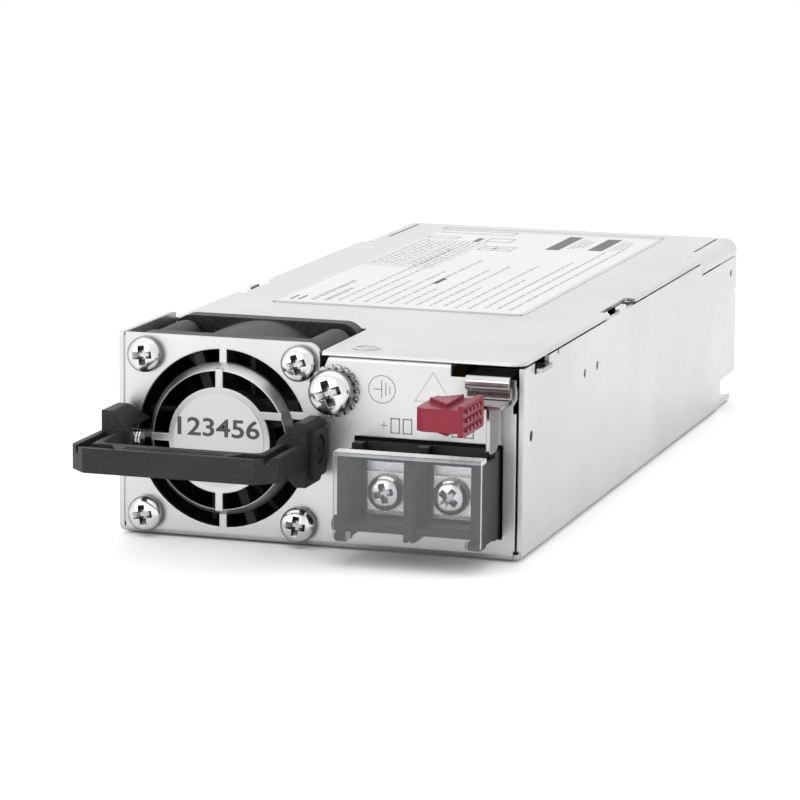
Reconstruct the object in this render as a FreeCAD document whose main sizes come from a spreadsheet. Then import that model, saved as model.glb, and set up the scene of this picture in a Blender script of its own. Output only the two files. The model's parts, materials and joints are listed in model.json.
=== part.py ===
"""Hot-plug power supply module with a direct-current terminal block, a fan and a side latch.

Lengths are in millimetres. Every piece is drawn from the front left lower corner of the
casing: X runs to the right, Y runs back from the front panel, Z runs up. A placement then
moves each piece so that the origin lies at the centre of the underside.
"""
import FreeCAD, Part
import math
import os
import Sketcher
from types import SimpleNamespace

DRIVING = {
    # Casing
    "body_width": 83.0,
    "body_length": 188.0,
    "sheet": 1.0,
    "bend_radius": 1.5,
    "wall_height": 37.6,
    "panel_height": 38.0,
    "plate_height": 40.2,
    "plate_width": 41.8,
    "seam": 0.3,
    "cover_sheet": 0.8,
    "cover_top": 38.8,
    "rear_panel_set": 3.0,
    # Latch window and tooth notch
    "window_left_in": 14.6,
    "window_right_in": 1.6,
    "window_sill": 35.4,
    "notch_front": 7.5,
    "notch_back": 18.2,
    "notch_sill": 35.4,
    # Terminal opening
    "bay_gap": 7.2,
    "bay_right_in": 4.0,
    "bay_floor": 4.1,
    "bay_roof": 22.6,
    # Fan
    "fan_side": 40.0,
    "fan_depth": 28.0,
    "fan_x": 21.8,
    "fan_z": 20.2,
    "fan_pitch": 32.0,
    "fan_bore": 19.0,
    "fan_duct_wall": 0.8,
    "fan_flange": 4.0,
    "fan_corner": 4.0,
    "post_radius": 3.4,
    "post_length": 17.0,
    "pilot_radius": 1.4,
    "hub_radius": 9.0,
    "hub_wall": 1.0,
    "hub_depth": 18.0,
    "blade_tip": 17.7,
    "blade_root": 7.4,
    "blade_thick": 1.0,
    "blade_count": 8,
    "shaft_radius": 1.0,
    "shaft_play": 0.04,
    "bearing_radius": 2.2,
    "bearing_length": 2.5,
    "tube_wall": 0.9,
    "strut_width": 2.0,
    "strut_depth": 2.0,
    # Stamped guard
    "guard_outer": 17.8,
    "guard_rim": 15.2,
    "guard_step": 13.8,
    "guard_disc": 10.55,
    "guard_rise": 2.3,
    "spoke_width": 1.5,
    "side_spoke_rise": 5.5,
    # Handle
    "handle_left": 1.2,
    "handle_width": 42.0,
    "handle_reach": 31.0,
    "handle_z": 20.4,
    "bar_height": 4.8,
    "bar_depth": 6.4,
    "arm_width": 4.8,
    "boss_height": 12.6,
    "boss_depth": 12.4,
    "boss_face": 2.2,
    "boss_width": 6.0,
    "handle_corner": 3.6,
    "pocket_depth": 1.4,
    "pocket_wall": 1.3,
    "ear_sheet": 1.0,
    # Screws
    "machine_radius": 1.5,
    "pan_radius": 3.3,
    "pan_height": 2.5,
    "ground_gap": 3.0,
    "ground_z": 31.2,
    "ground_head": 4.35,
    "ground_height": 3.0,
    "ground_shank": 2.0,
    "washer_radius": 5.3,
    "washer_sheet": 0.9,
    # Terminal block
    "block_reach": 12.4,
    "block_back": 8.0,
    "barrier": 2.2,
    "block_wall": 1.6,
    "terminal_z": 13.2,
    "terminal_head": 3.3,
    "terminal_head_height": 2.2,
    "terminal_shank": 1.95,
    "contact_sheet": 1.2,
    "clamp_side": 7.6,
    "clamp_sheet": 1.1,
    "lid_sheet": 0.8,
    "lid_gap": 0.4,
    "lid_pin": 0.5,
    "lid_play": 0.06,
    "lid_axis_z": 5.4,
    # Latch
    "pivot_in": 4.2,
    "pivot_y": 50.0,
    "pivot_radius": 1.5,
    "pivot_play": 0.05,
    "eye_wall": 0.7,
    "lever_sheet": 0.8,
    "lever_in": 3.2,
    "lever_low": 28.4,
    "lever_high": 36.4,
    "tooth_front": 8.6,
    "tooth_back": 16.8,
    "tooth_out": 1.2,
    "roll_left_in": 10.8,
    "roll_right_in": 2.0,
    "roll_front": 3.0,
    "roll_neck": 1.5,
    "roll_mid": 34.0,
    "shelf_z": 31.4,
    "shelf_reach": 8.6,
    "grip_left_in": 14.4,
    "grip_right_in": 5.0,
    "grip_front": 24.0,
    "grip_back": 10.2,
    "grip_low": 29.0,
    "grip_high": 33.4,
    "grip_plate": 1.1,
    "grip_flare": 0.8,
    "bracket_sheet": 0.8,
    "bracket_low": 24.0,
    "bracket_high": 35.0,
    "rivet_first": 46.0,
    "rivet_second": 56.0,
    "rivet_z": 29.4,
    "rivet_radius": 0.9,
    # Boards and inner pieces
    "board_sheet": 1.6,
    "board_z": 6.0,
    "board_front": 36.0,
    "board_margin": 1.5,
    "edge_width": 52.0,
    "standoff_radius": 2.4,
    "board_screw_radius": 1.4,
    # Labels
    "label_sheet": 0.15,
    "label_left": 11.8,
    "label_right_in": 16.0,
    "label_front": 57.0,
    "label_back": 177.0,
}

doc = FreeCAD.newDocument("PowerSupply")
sheet = doc.addObject("Spreadsheet::Sheet", "Sizes")
for row, (alias, number) in enumerate(DRIVING.items(), start=1):
    cell = "B%d" % row
    sheet.set("A%d" % row, alias)
    sheet.set(cell, str(number))
    sheet.setAlias(cell, alias)
doc.recompute()


class Size:
    """A length together with the sheet formula that gives it."""

    def __init__(self, value, formula=None):
        self.value = float(value)
        self.formula = formula or "(%s)" % format(self.value, ".8g")

    def joined(self, other, sign, value):
        return Size(value, "(%s %s %s)" % (self.formula, sign, other.formula))

    def __add__(self, other):
        other = as_size(other)
        return self.joined(other, "+", self.value + other.value)

    def __sub__(self, other):
        other = as_size(other)
        return self.joined(other, "-", self.value - other.value)

    def __mul__(self, other):
        other = as_size(other)
        return self.joined(other, "*", self.value * other.value)

    def __truediv__(self, other):
        other = as_size(other)
        return self.joined(other, "/", self.value / other.value)

    def __neg__(self):
        return as_size(0) - self

    def __radd__(self, other):
        return as_size(other) + self

    def __rsub__(self, other):
        return as_size(other) - self

    def __rmul__(self, other):
        return as_size(other) * self


def as_size(number):
    return number if isinstance(number, Size) else Size(number)


p = SimpleNamespace(**{alias: Size(number, "Sizes." + alias) for alias, number in DRIVING.items()})

PLANE_TURNS = {
    "XY": FreeCAD.Rotation(),
    "XZ": FreeCAD.Rotation(FreeCAD.Vector(1, 0, 0), 90),
    "YZ": FreeCAD.Rotation(FreeCAD.Vector(1, 1, 1), 120),
}
AXIS_TURNS = {
    "X": FreeCAD.Rotation(FreeCAD.Vector(0, 1, 0), 90),
    "Y": FreeCAD.Rotation(FreeCAD.Vector(1, 0, 0), -90),
    "Z": FreeCAD.Rotation(),
}
PLANE_NORMALS = {"XY": (0, 0, 1), "XZ": (0, 1, 0), "YZ": (1, 0, 0)}
sub_parts = []


def bind(thing, field, size):
    thing.setExpression(field, as_size(size).formula)


def bind_base(thing, x, y, z, field="Placement"):
    for letter, size in zip("xyz", (x, y, z)):
        bind(thing, "%s.Base.%s" % (field, letter), size)


def finish(thing, node, x=0, y=0, z=0, turn=None):
    """Names a sub-part and moves it from the corner frame to the centre of the underside."""
    thing.Label = node
    thing.Placement = FreeCAD.Placement(FreeCAD.Vector(), turn or FreeCAD.Rotation())
    bind_base(thing, x - p.body_width / 2, y - p.body_length / 2, z)
    sub_parts.append(thing)
    return thing


class Drawing:
    """Collects the lines and the bound constraints of one sketch, then writes them at once."""

    def __init__(self, sketch):
        self.sketch = sketch
        self.constraints = []
        self.formulas = []

    def add(self, *terms):
        self.constraints.append(Sketcher.Constraint(*terms))

    def add_bound(self, size, *terms):
        self.formulas.append((len(self.constraints), size.formula))
        self.constraints.append(Sketcher.Constraint(*terms, size.value))

    def tie(self, index, end, x, y):
        """Holds a point at bound distances from the sketch's origin."""
        self.add_bound(as_size(x), "DistanceX", -1, 1, index, end)
        self.add_bound(as_size(y), "DistanceY", -1, 1, index, end)

    def circle(self, x, y, radius):
        centre = FreeCAD.Vector(as_size(x).value, as_size(y).value, 0)
        radius = as_size(radius)
        circle = Part.Circle(centre, FreeCAD.Vector(0, 0, 1), radius.value)
        index = self.sketch.addGeometry(circle, False)
        self.tie(index, 3, x, y)
        self.add_bound(radius, "Radius", index)

    def outline(self, corners):
        """Draws a closed outline. A corner is (x, y) or, where it is rounded, (x, y, radius)."""
        spots = [FreeCAD.Vector(as_size(c[0]).value, as_size(c[1]).value, 0) for c in corners]
        count = len(corners)
        starts = []
        ends = []
        arcs = {}
        flipped = {}
        for i, corner in enumerate(corners):
            before = (spots[i - 1] - spots[i]).normalize()
            after = (spots[(i + 1) % count] - spots[i]).normalize()
            if len(corner) == 2:
                ends.append(spots[i])
                starts.append(spots[i])
                continue
            half = before.getAngle(after) / 2
            radius = as_size(corner[2]).value
            run = radius / math.tan(half)
            ends.append(spots[i] + before * run)
            starts.append(spots[i] + after * run)
            bisector = (before + after).normalize()
            middle = spots[i] + bisector * (radius / math.sin(half) - radius)
            arcs[i] = Part.Arc(ends[i], middle, starts[i])
            flipped[i] = before.y * after.x - before.x * after.y < 0
        lines = []
        for i in range(count):
            line = Part.LineSegment(starts[i], ends[(i + 1) % count])
            lines.append(self.sketch.addGeometry(line, False))
        for i, corner in enumerate(corners):
            incoming = lines[i - 1]
            outgoing = lines[i]
            if i not in arcs:
                self.add("Coincident", incoming, 2, outgoing, 1)
                self.tie(outgoing, 1, corner[0], corner[1])
                continue
            spot = self.sketch.addGeometry(Part.Point(spots[i]), True)
            self.tie(spot, 1, corner[0], corner[1])
            self.add("PointOnObject", spot, 1, incoming)
            self.add("PointOnObject", spot, 1, outgoing)
            arc = self.sketch.addGeometry(arcs[i], False)
            self.add("Tangent", incoming, 2, arc, 2 if flipped[i] else 1)
            self.add("Tangent", arc, 1 if flipped[i] else 2, outgoing, 1)
            self.add_bound(as_size(corner[2]), "Radius", arc)

    def write(self):
        self.sketch.addConstraint(self.constraints)
        for number, formula in self.formulas:
            self.sketch.setExpression("Constraints[%d]" % number, formula)


def draw_loops(sketch, loops):
    drawing = Drawing(sketch)
    for loop in loops:
        if isinstance(loop, tuple):
            drawing.circle(*loop)
        else:
            drawing.outline(loop)
    drawing.write()


def rectangle(x0, x1, y0, y1, radius=None):
    corners = [(x0, y0), (x1, y0), (x1, y1), (x0, y1)]
    return [c + (radius,) for c in corners] if radius is not None else corners


def ribbon(path, thickness, radius):
    """Gives the outline of a sheet folded along an axis-aligned path on its middle line."""
    spots = [(as_size(x), as_size(y)) for x, y in path]
    normals = []
    for (x0, y0), (x1, y1) in zip(spots, spots[1:]):
        along_x = x1.value - x0.value
        along_y = y1.value - y0.value
        length = abs(along_x) + abs(along_y)
        normals.append((-along_y / length, along_x / length))
    left = []
    right = []
    for i, (x, y) in enumerate(spots):
        before = normals[max(i - 1, 0)]
        after = normals[min(i, len(normals) - 1)]
        inside = i in (0, len(spots) - 1)
        shift_x = before[0] if inside else before[0] + after[0]
        shift_y = before[1] if inside else before[1] + after[1]
        turn = 0 if inside else before[0] * after[1] - before[1] * after[0]
        half = thickness / 2
        left_spot = (x + half * shift_x, y + half * shift_y)
        right_spot = (x - half * shift_x, y - half * shift_y)
        if inside:
            left.append(left_spot)
            right.append(right_spot)
            continue
        outer = radius + half
        inner = radius - half
        left.append(left_spot + ((inner if turn > 0 else outer),))
        right.append(right_spot + ((outer if turn > 0 else inner),))
    return left + right[::-1]


def new_body():
    body = doc.addObject("PartDesign::Body", "Body")
    if hasattr(body, "AllowCompound"):
        body.AllowCompound = True
    return body


def sketch_in(body, plane, start, loops, shift=(0, 0)):
    sketch = body.newObject("Sketcher::SketchObject", "Outline")
    face = [item for item in body.Origin.OriginFeatures if item.Role == plane + "_Plane"][0]
    sketch.AttachmentSupport = [(face, "")]
    sketch.MapMode = "FlatFace"
    height = -as_size(start) if plane == "XZ" else as_size(start)
    bind_base(sketch, shift[0], shift[1], height, "AttachmentOffset")
    draw_loops(sketch, loops)
    return sketch


def pad(body, plane, start, depth, *loops):
    sketch = sketch_in(body, plane, start, loops)
    feature = body.newObject("PartDesign::Pad", "Pad")
    feature.Profile = sketch
    bind(feature, "Length", depth)
    feature.Reversed = plane == "XZ"
    return feature


def pocket(body, plane, start, depth, *loops):
    doc.recompute()
    before = body.Shape.Volume
    sketch = sketch_in(body, plane, start, loops)
    feature = body.newObject("PartDesign::Pocket", "Pocket")
    feature.Profile = sketch
    bind(feature, "Length", depth)
    feature.Reversed = plane != "XZ"
    doc.recompute()
    if body.Shape.Volume > before - 1e-3:
        raise RuntimeError("a pocket in %s removed nothing" % body.Name)
    return feature


def revolve(body, plane, start, shift, corners, axis="V_Axis"):
    sketch = sketch_in(body, plane, start, [corners], shift)
    feature = body.newObject("PartDesign::Revolution", "Revolution")
    feature.Profile = sketch
    feature.ReferenceAxis = (sketch, [axis])
    feature.Angle = 360
    return feature


def round_edges(body, radius, wanted):
    """Rounds the edges of the body's last feature for which wanted(edge) is true."""
    doc.recompute()
    base = body.Tip
    names = ["Edge%d" % (i + 1) for i, edge in enumerate(base.Shape.Edges) if wanted(edge)]
    if not names:
        raise RuntimeError("no edge to round in %s" % body.Name)
    feature = body.newObject("PartDesign::Fillet", "Fillet")
    feature.Base = (base, names)
    bind(feature, "Radius", radius)
    doc.recompute()
    return feature


def block(x0, x1, y0, y1, z0, z1):
    item = doc.addObject("Part::Box", "Block")
    bind(item, "Length", as_size(x1) - x0)
    bind(item, "Width", as_size(y1) - y0)
    bind(item, "Height", as_size(z1) - z0)
    bind_base(item, x0, y0, z0)
    return item


def rod(axis, x, y, z, radius, length):
    item = doc.addObject("Part::Cylinder", "Rod")
    bind(item, "Radius", radius)
    bind(item, "Height", length)
    item.Placement = FreeCAD.Placement(FreeCAD.Vector(), AXIS_TURNS[axis])
    bind_base(item, x, y, z)
    return item


def tube(axis, x, y, z, outer, inner, length):
    return cut(rod(axis, x, y, z, outer, length), rod(axis, x, y, z, inner, length))


def cone(axis, x, y, z, low_radius, high_radius, length):
    item = doc.addObject("Part::Cone", "Cone")
    bind(item, "Radius1", low_radius)
    bind(item, "Radius2", high_radius)
    bind(item, "Height", length)
    item.Placement = FreeCAD.Placement(FreeCAD.Vector(), AXIS_TURNS[axis])
    bind_base(item, x, y, z)
    return item


def prism(plane, start, depth, *loops):
    sketch = doc.addObject("Sketcher::SketchObject", "Section")
    sketch.Placement = FreeCAD.Placement(FreeCAD.Vector(), PLANE_TURNS[plane])
    letter = {"XY": "z", "XZ": "y", "YZ": "x"}[plane]
    bind(sketch, "Placement.Base." + letter, start)
    draw_loops(sketch, loops)
    item = doc.addObject("Part::Extrusion", "Prism")
    item.Base = sketch
    item.DirMode = "Custom"
    item.Dir = FreeCAD.Vector(*PLANE_NORMALS[plane])
    bind(item, "LengthFwd", depth)
    item.Solid = True
    return item


def fuse(*items):
    if len(items) == 1:
        item = doc.addObject("Part::Refine", "Single")
        item.Source = items[0]
        return item
    item = doc.addObject("Part::MultiFuse", "Fusion")
    item.Shapes = list(items)
    item.Refine = True
    return item


def cut(base, *tools):
    item = doc.addObject("Part::Cut", "Difference")
    item.Base = base
    item.Tool = fuse(*tools)
    item.Refine = True
    return item


def leg(hypotenuse, side):
    """The other short side of a right triangle."""
    value = math.sqrt(hypotenuse.value ** 2 - side.value ** 2)
    return Size(value, "sqrt(%s ^ 2 - %s ^ 2)" % (hypotenuse.formula, side.formula))


def origin_item(body, role):
    return [item for item in body.Origin.OriginFeatures if item.Role == role][0]


def polar_pattern(body, original, role, count):
    pattern = body.newObject("PartDesign::PolarPattern", "Pattern")
    pattern.Originals = [original]
    pattern.Axis = (origin_item(body, role), [""])
    pattern.Angle = 360
    bind(pattern, "Occurrences", count)
    body.Tip = pattern
    return pattern


def along(edge, letter):
    """True for a straight edge that runs along one axis."""
    if edge.Curve.TypeId != "Part::GeomLine":
        return False
    direction = edge.tangentAt(edge.FirstParameter)
    return abs(abs(getattr(direction, letter)) - 1) < 1e-6


def near(value, size):
    return abs(value - as_size(size).value) < 1e-4


# Places shared by several pieces
half_fan = p.fan_pitch / 2
fan_front = p.sheet
fan_back = p.sheet + p.fan_depth
cover_floor = p.cover_top - p.cover_sheet
wall_inner = p.body_width - p.sheet
window_left = p.body_width - p.window_left_in
window_right = p.body_width - p.window_right_in
bay_right = p.body_width - p.bay_right_in
pivot_x = p.body_width - p.pivot_in
lever_x = p.body_width - p.lever_in
roll_left = p.body_width - p.roll_left_in
roll_right = p.body_width - p.roll_right_in
grip_left = p.body_width - p.grip_left_in
grip_right = p.body_width - p.grip_right_in
label_right = p.body_width - p.label_right_in
bay_left = p.plate_width + p.bay_gap
ground_x = p.plate_width + p.ground_gap
tooth_reach = p.body_width + p.tooth_out
handle_right = p.handle_left + p.handle_width
handle_low = p.handle_z - p.bar_height / 2
ear_left = p.handle_left + 1.8
ear_right = handle_right - 1.8 - p.ear_sheet
handle_screw_y = -5.2
block_left = bay_left + 0.6
block_right = bay_right - 0.5
bay_width = (block_right - block_left - 3 * p.barrier) / 2
terminal_xs = (
    block_left + p.barrier + bay_width / 2,
    block_right - p.barrier - bay_width / 2,
)
block_low = p.bay_floor + 0.4
block_high = p.bay_roof - 0.7
block_face = -3.6
contact_face = block_face - p.contact_sheet
clamp_face = contact_face - p.clamp_sheet
lid_y = -(p.block_reach + p.lid_gap + p.lid_sheet / 2)
board_top = p.board_z + p.board_sheet
board_back = p.body_length - 6
board_left = p.sheet + p.board_margin
board_right = p.body_width - p.sheet - p.board_margin
rear_face = p.body_length - p.rear_panel_set - p.sheet
standoff_spots = [
    (x, y)
    for x in (board_left + 5, board_right - 5)
    for y in (p.board_front + 6, board_back - 8)
]


def make_chassis():
    body = new_body()
    half = p.sheet / 2
    channel = [
        (half, p.wall_height),
        (half, half),
        (p.body_width - half, half),
        (p.body_width - half, p.wall_height),
    ]
    pad(body, "XZ", 0, p.body_length, ribbon(channel, p.sheet, p.bend_radius - half))

    left = p.sheet + p.seam
    right = wall_inner - p.seam - 0.15
    slot_foot = p.bay_roof + 6.3
    panel = [
        (left, half),
        (right, half),
        (right, slot_foot),
        (right - 0.7, slot_foot),
        (right - 0.7, slot_foot + 1.4, 0.4),
        (right + 0.1, slot_foot + 2.7, 0.8),
        (right + 0.1, slot_foot + 4.4, 0.8),
        (window_right, slot_foot + 5.6, 0.4),
        (window_right, p.window_sill),
        (window_left, p.window_sill),
        (window_left, p.panel_height),
        (p.plate_width + 1.9, p.panel_height),
        (p.plate_width + 0.3, p.panel_height - 3.6),
        (p.plate_width, p.panel_height - 3.6),
        (p.plate_width, p.plate_height, 2.5),
        (left, p.plate_height),
    ]
    pad(body, "XZ", 0, p.sheet, panel)
    flange = rectangle(p.plate_width + 2.1, window_left, p.panel_height - p.sheet, p.panel_height)
    pad(body, "XZ", 0, 6, flange)
    round_edges(
        body,
        0.8,
        lambda e: along(e, "x") and near(e.BoundBox.YMin, 0) and near(e.BoundBox.ZMin, p.panel_height),
    )
    front_bend = [(-1, -1), (3, -1), (3, 0), (0, 0, 1.2), (0, 3), (-1, 3)]
    pocket(body, "YZ", 0, p.body_width, front_bend)

    pocket(body, "XZ", 0, p.sheet, rectangle(bay_left, bay_right, p.bay_floor, p.bay_roof))
    pocket(body, "XZ", 0, p.sheet, (p.fan_x, p.fan_z, p.guard_outer))
    screw_holes = [
        (p.fan_x + sx * half_fan, p.fan_z + sz * half_fan, p.pilot_radius + 0.3)
        for sx in (-1, 1)
        for sz in (-1, 1)
    ]
    pocket(body, "XZ", 0, p.sheet, *screw_holes)

    rise = p.guard_rise
    cone_band = [
        (p.guard_rim, 0),
        (p.guard_rim, p.sheet),
        (p.guard_step, p.sheet - rise),
        (p.guard_step, -rise),
    ]
    revolve(body, "XY", p.fan_z, (p.fan_x, 0), cone_band)
    pad(body, "XZ", -rise, p.sheet, (p.fan_x, p.fan_z, p.guard_disc))
    half_spoke = p.spoke_width / 2
    disc_in = p.guard_disc - 0.6
    step_out = p.guard_step + 0.35
    rim_in = p.guard_rim - 0.5
    plate_in = p.guard_outer + 0.5
    side = p.side_spoke_rise
    for y, inner, outer in ((-rise, disc_in, step_out), (0, rim_in, plate_in)):
        pad(
            body,
            "XZ",
            y,
            p.sheet,
            rectangle(p.fan_x - half_spoke, p.fan_x + half_spoke, p.fan_z + inner, p.fan_z + outer),
            rectangle(p.fan_x - half_spoke, p.fan_x + half_spoke, p.fan_z - outer, p.fan_z - inner),
            rectangle(p.fan_x - outer, p.fan_x - inner, p.fan_z - half_spoke, p.fan_z + half_spoke),
            rectangle(
                p.fan_x + leg(inner, side),
                p.fan_x + leg(outer, side),
                p.fan_z + side - half_spoke,
                p.fan_z + side + half_spoke,
            ),
        )

    ear_low = p.handle_z - 3.6
    ear_high = p.handle_z + 3.6
    for x in (ear_left, ear_right):
        pad(body, "YZ", x, p.ear_sheet, rectangle(-9.0, p.sheet, ear_low, ear_high))
        pocket(body, "YZ", x, p.ear_sheet, (handle_screw_y, p.handle_z, p.machine_radius))

    pad(body, "XZ", p.sheet, 1.5, (ground_x, p.ground_z, p.ground_shank + 0.7))
    pocket(body, "XZ", 0, p.sheet + 1.5, (ground_x, p.ground_z, p.ground_shank + 0.02))

    pocket(
        body,
        "XY",
        0,
        p.sheet,
        rectangle(p.sheet + 0.5, p.plate_width + 0.3, p.sheet, fan_back + 0.3),
        rectangle(wall_inner - 1.0, wall_inner + 0.4, 0, p.sheet + 0.4),
    )

    lower_cut = [
        (p.body_length - 15, 0),
        (p.body_length, 0),
        (p.body_length, 7.0),
        (p.body_length - 15, 7.0, 1.5),
    ]
    fold_line = p.cover_top - 4.0
    upper_cut = rectangle(p.body_length - 36.4, p.body_length, fold_line, p.wall_height)
    rear_notch = rectangle(p.body_length - 1.6, p.body_length, 25.8, 27.0)
    tooth_notch = rectangle(p.notch_front, p.notch_back, p.notch_sill, p.wall_height)
    small_notch = rectangle(24.4, 25.4, p.wall_height - 0.8, p.wall_height)
    holes = (
        (p.rivet_first, p.rivet_z, p.rivet_radius),
        (p.rivet_second, p.rivet_z, p.rivet_radius),
        (5.7, 23.7, 1.1),
        (p.body_length - 6, 31.3, 0.9),
    )
    cuts = (lower_cut, upper_cut, rear_notch, tooth_notch, small_notch)
    pocket(body, "YZ", wall_inner, p.sheet, *cuts, *holes)
    pocket(body, "YZ", 0, p.sheet, lower_cut, upper_cut, rear_notch)
    for x in (0, wall_inner):
        pad(body, "YZ", x, p.sheet, rectangle(74.0, 79.5, p.wall_height - 1, p.cover_top, 0.4))
    raised = [
        (0, p.wall_height - 1),
        (fan_back, p.wall_height - 1),
        (fan_back, p.plate_height, 1.2),
        (0, p.plate_height, 0.4),
    ]
    pad(body, "YZ", 0, p.sheet, raised)
    pocket(body, "XZ", 0, 1.4, rectangle(p.body_width - 1.8, p.body_width - 0.3, 0.6, 1.9))
    rear_tab = rectangle(p.body_length - 15, p.body_length - 8.5, p.sheet - 0.2, 5.6, 0.6)
    for x in (2.2, wall_inner - 2.0):
        pad(body, "YZ", x, 0.8, rear_tab)
    for x, y in standoff_spots:
        pocket(body, "XY", 0, p.sheet, (x, y, p.machine_radius))
    return finish(body, "chassis")


def make_top_cover():
    body = new_body()
    fold_start = p.body_length - 36
    right = p.body_width
    notch_in = 2.4
    plate = [
        (p.plate_width + 0.4, 0),
        (right, 0, 3.0),
        (right, 66),
        (right - notch_in, 66, 0.5),
        (right - notch_in, 88, 0.5),
        (right, 88),
        (right, fold_start - 0.6),
        (right - 3.6, fold_start - 0.6, 0.5),
        (right - 3.6, fold_start + 1),
        (3.6, fold_start + 1),
        (3.6, fold_start - 0.6, 0.5),
        (0, fold_start - 0.6),
        (0, 88),
        (notch_in, 88, 0.5),
        (notch_in, 66, 0.5),
        (0, 66),
        (0, fan_back + 0.3),
        (p.plate_width + 0.4, fan_back + 0.3, 1.5),
    ]
    pad(body, "XY", cover_floor, p.cover_sheet, plate)
    round_edges(
        body,
        p.cover_sheet - 0.1,
        lambda e: along(e, "y")
        and near(e.BoundBox.ZMin, p.cover_top)
        and (near(e.BoundBox.XMax, 0) or near(e.BoundBox.XMin, right)),
    )
    half = p.cover_sheet / 2
    fold = [
        (half, p.cover_top - 3.6),
        (half, p.cover_top - half),
        (right - half, p.cover_top - half),
        (right - half, p.cover_top - 3.6),
    ]
    pad(body, "XZ", fold_start, 36, ribbon(fold, p.cover_sheet, 2.5))
    slot_front = p.body_length - 26.6
    slot_back = p.body_length - 2.5
    pocket(
        body,
        "XY",
        cover_floor,
        p.cover_sheet,
        rectangle(right - 4.7, right - 4.1, slot_front, slot_back),
        rectangle(4.1, 4.7, slot_front, slot_back),
    )
    return finish(body, "top_cover")


def make_rear_panel():
    body = new_body()
    left = p.sheet
    right = wall_inner
    opening_left = p.body_width / 2 - p.edge_width / 2 - 3
    opening_right = p.body_width / 2 + p.edge_width / 2 + 3
    outline = [
        (left + 2.6, p.sheet),
        (right - 2.6, p.sheet),
        (right - 2.6, p.sheet + 6.4),
        (right, p.sheet + 6.4),
        (right, cover_floor - 4.4),
        (right - 2.6, cover_floor - 4.4, 1.0),
        (right - 2.6, cover_floor),
        (left + 2.6, cover_floor),
        (left + 2.6, cover_floor - 4.4, 1.0),
        (left, cover_floor - 4.4),
        (left, p.sheet + 6.4),
        (left + 2.6, p.sheet + 6.4),
    ]
    pad(body, "XZ", rear_face, p.sheet, outline)
    pocket(body, "XZ", rear_face, p.sheet, rectangle(opening_left, opening_right, 3.4, 11.4, 0.8))
    pitch = 7.0
    radius = 3.3
    for line in range(3):
        vents = []
        for place in range(10 - line % 2):
            x = p.body_width / 2 + (place - 4.5 + 0.5 * (line % 2)) * pitch
            z = 17.0 + line * pitch * math.sqrt(3) / 2
            hexagon = []
            for k in range(6):
                angle = math.radians(60 * k + 30)
                hexagon.append((x + radius * math.cos(angle), z + radius * math.sin(angle)))
            vents.append(hexagon)
        pocket(body, "XZ", rear_face, p.sheet, *vents)
    return finish(body, "rear_panel")


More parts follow.
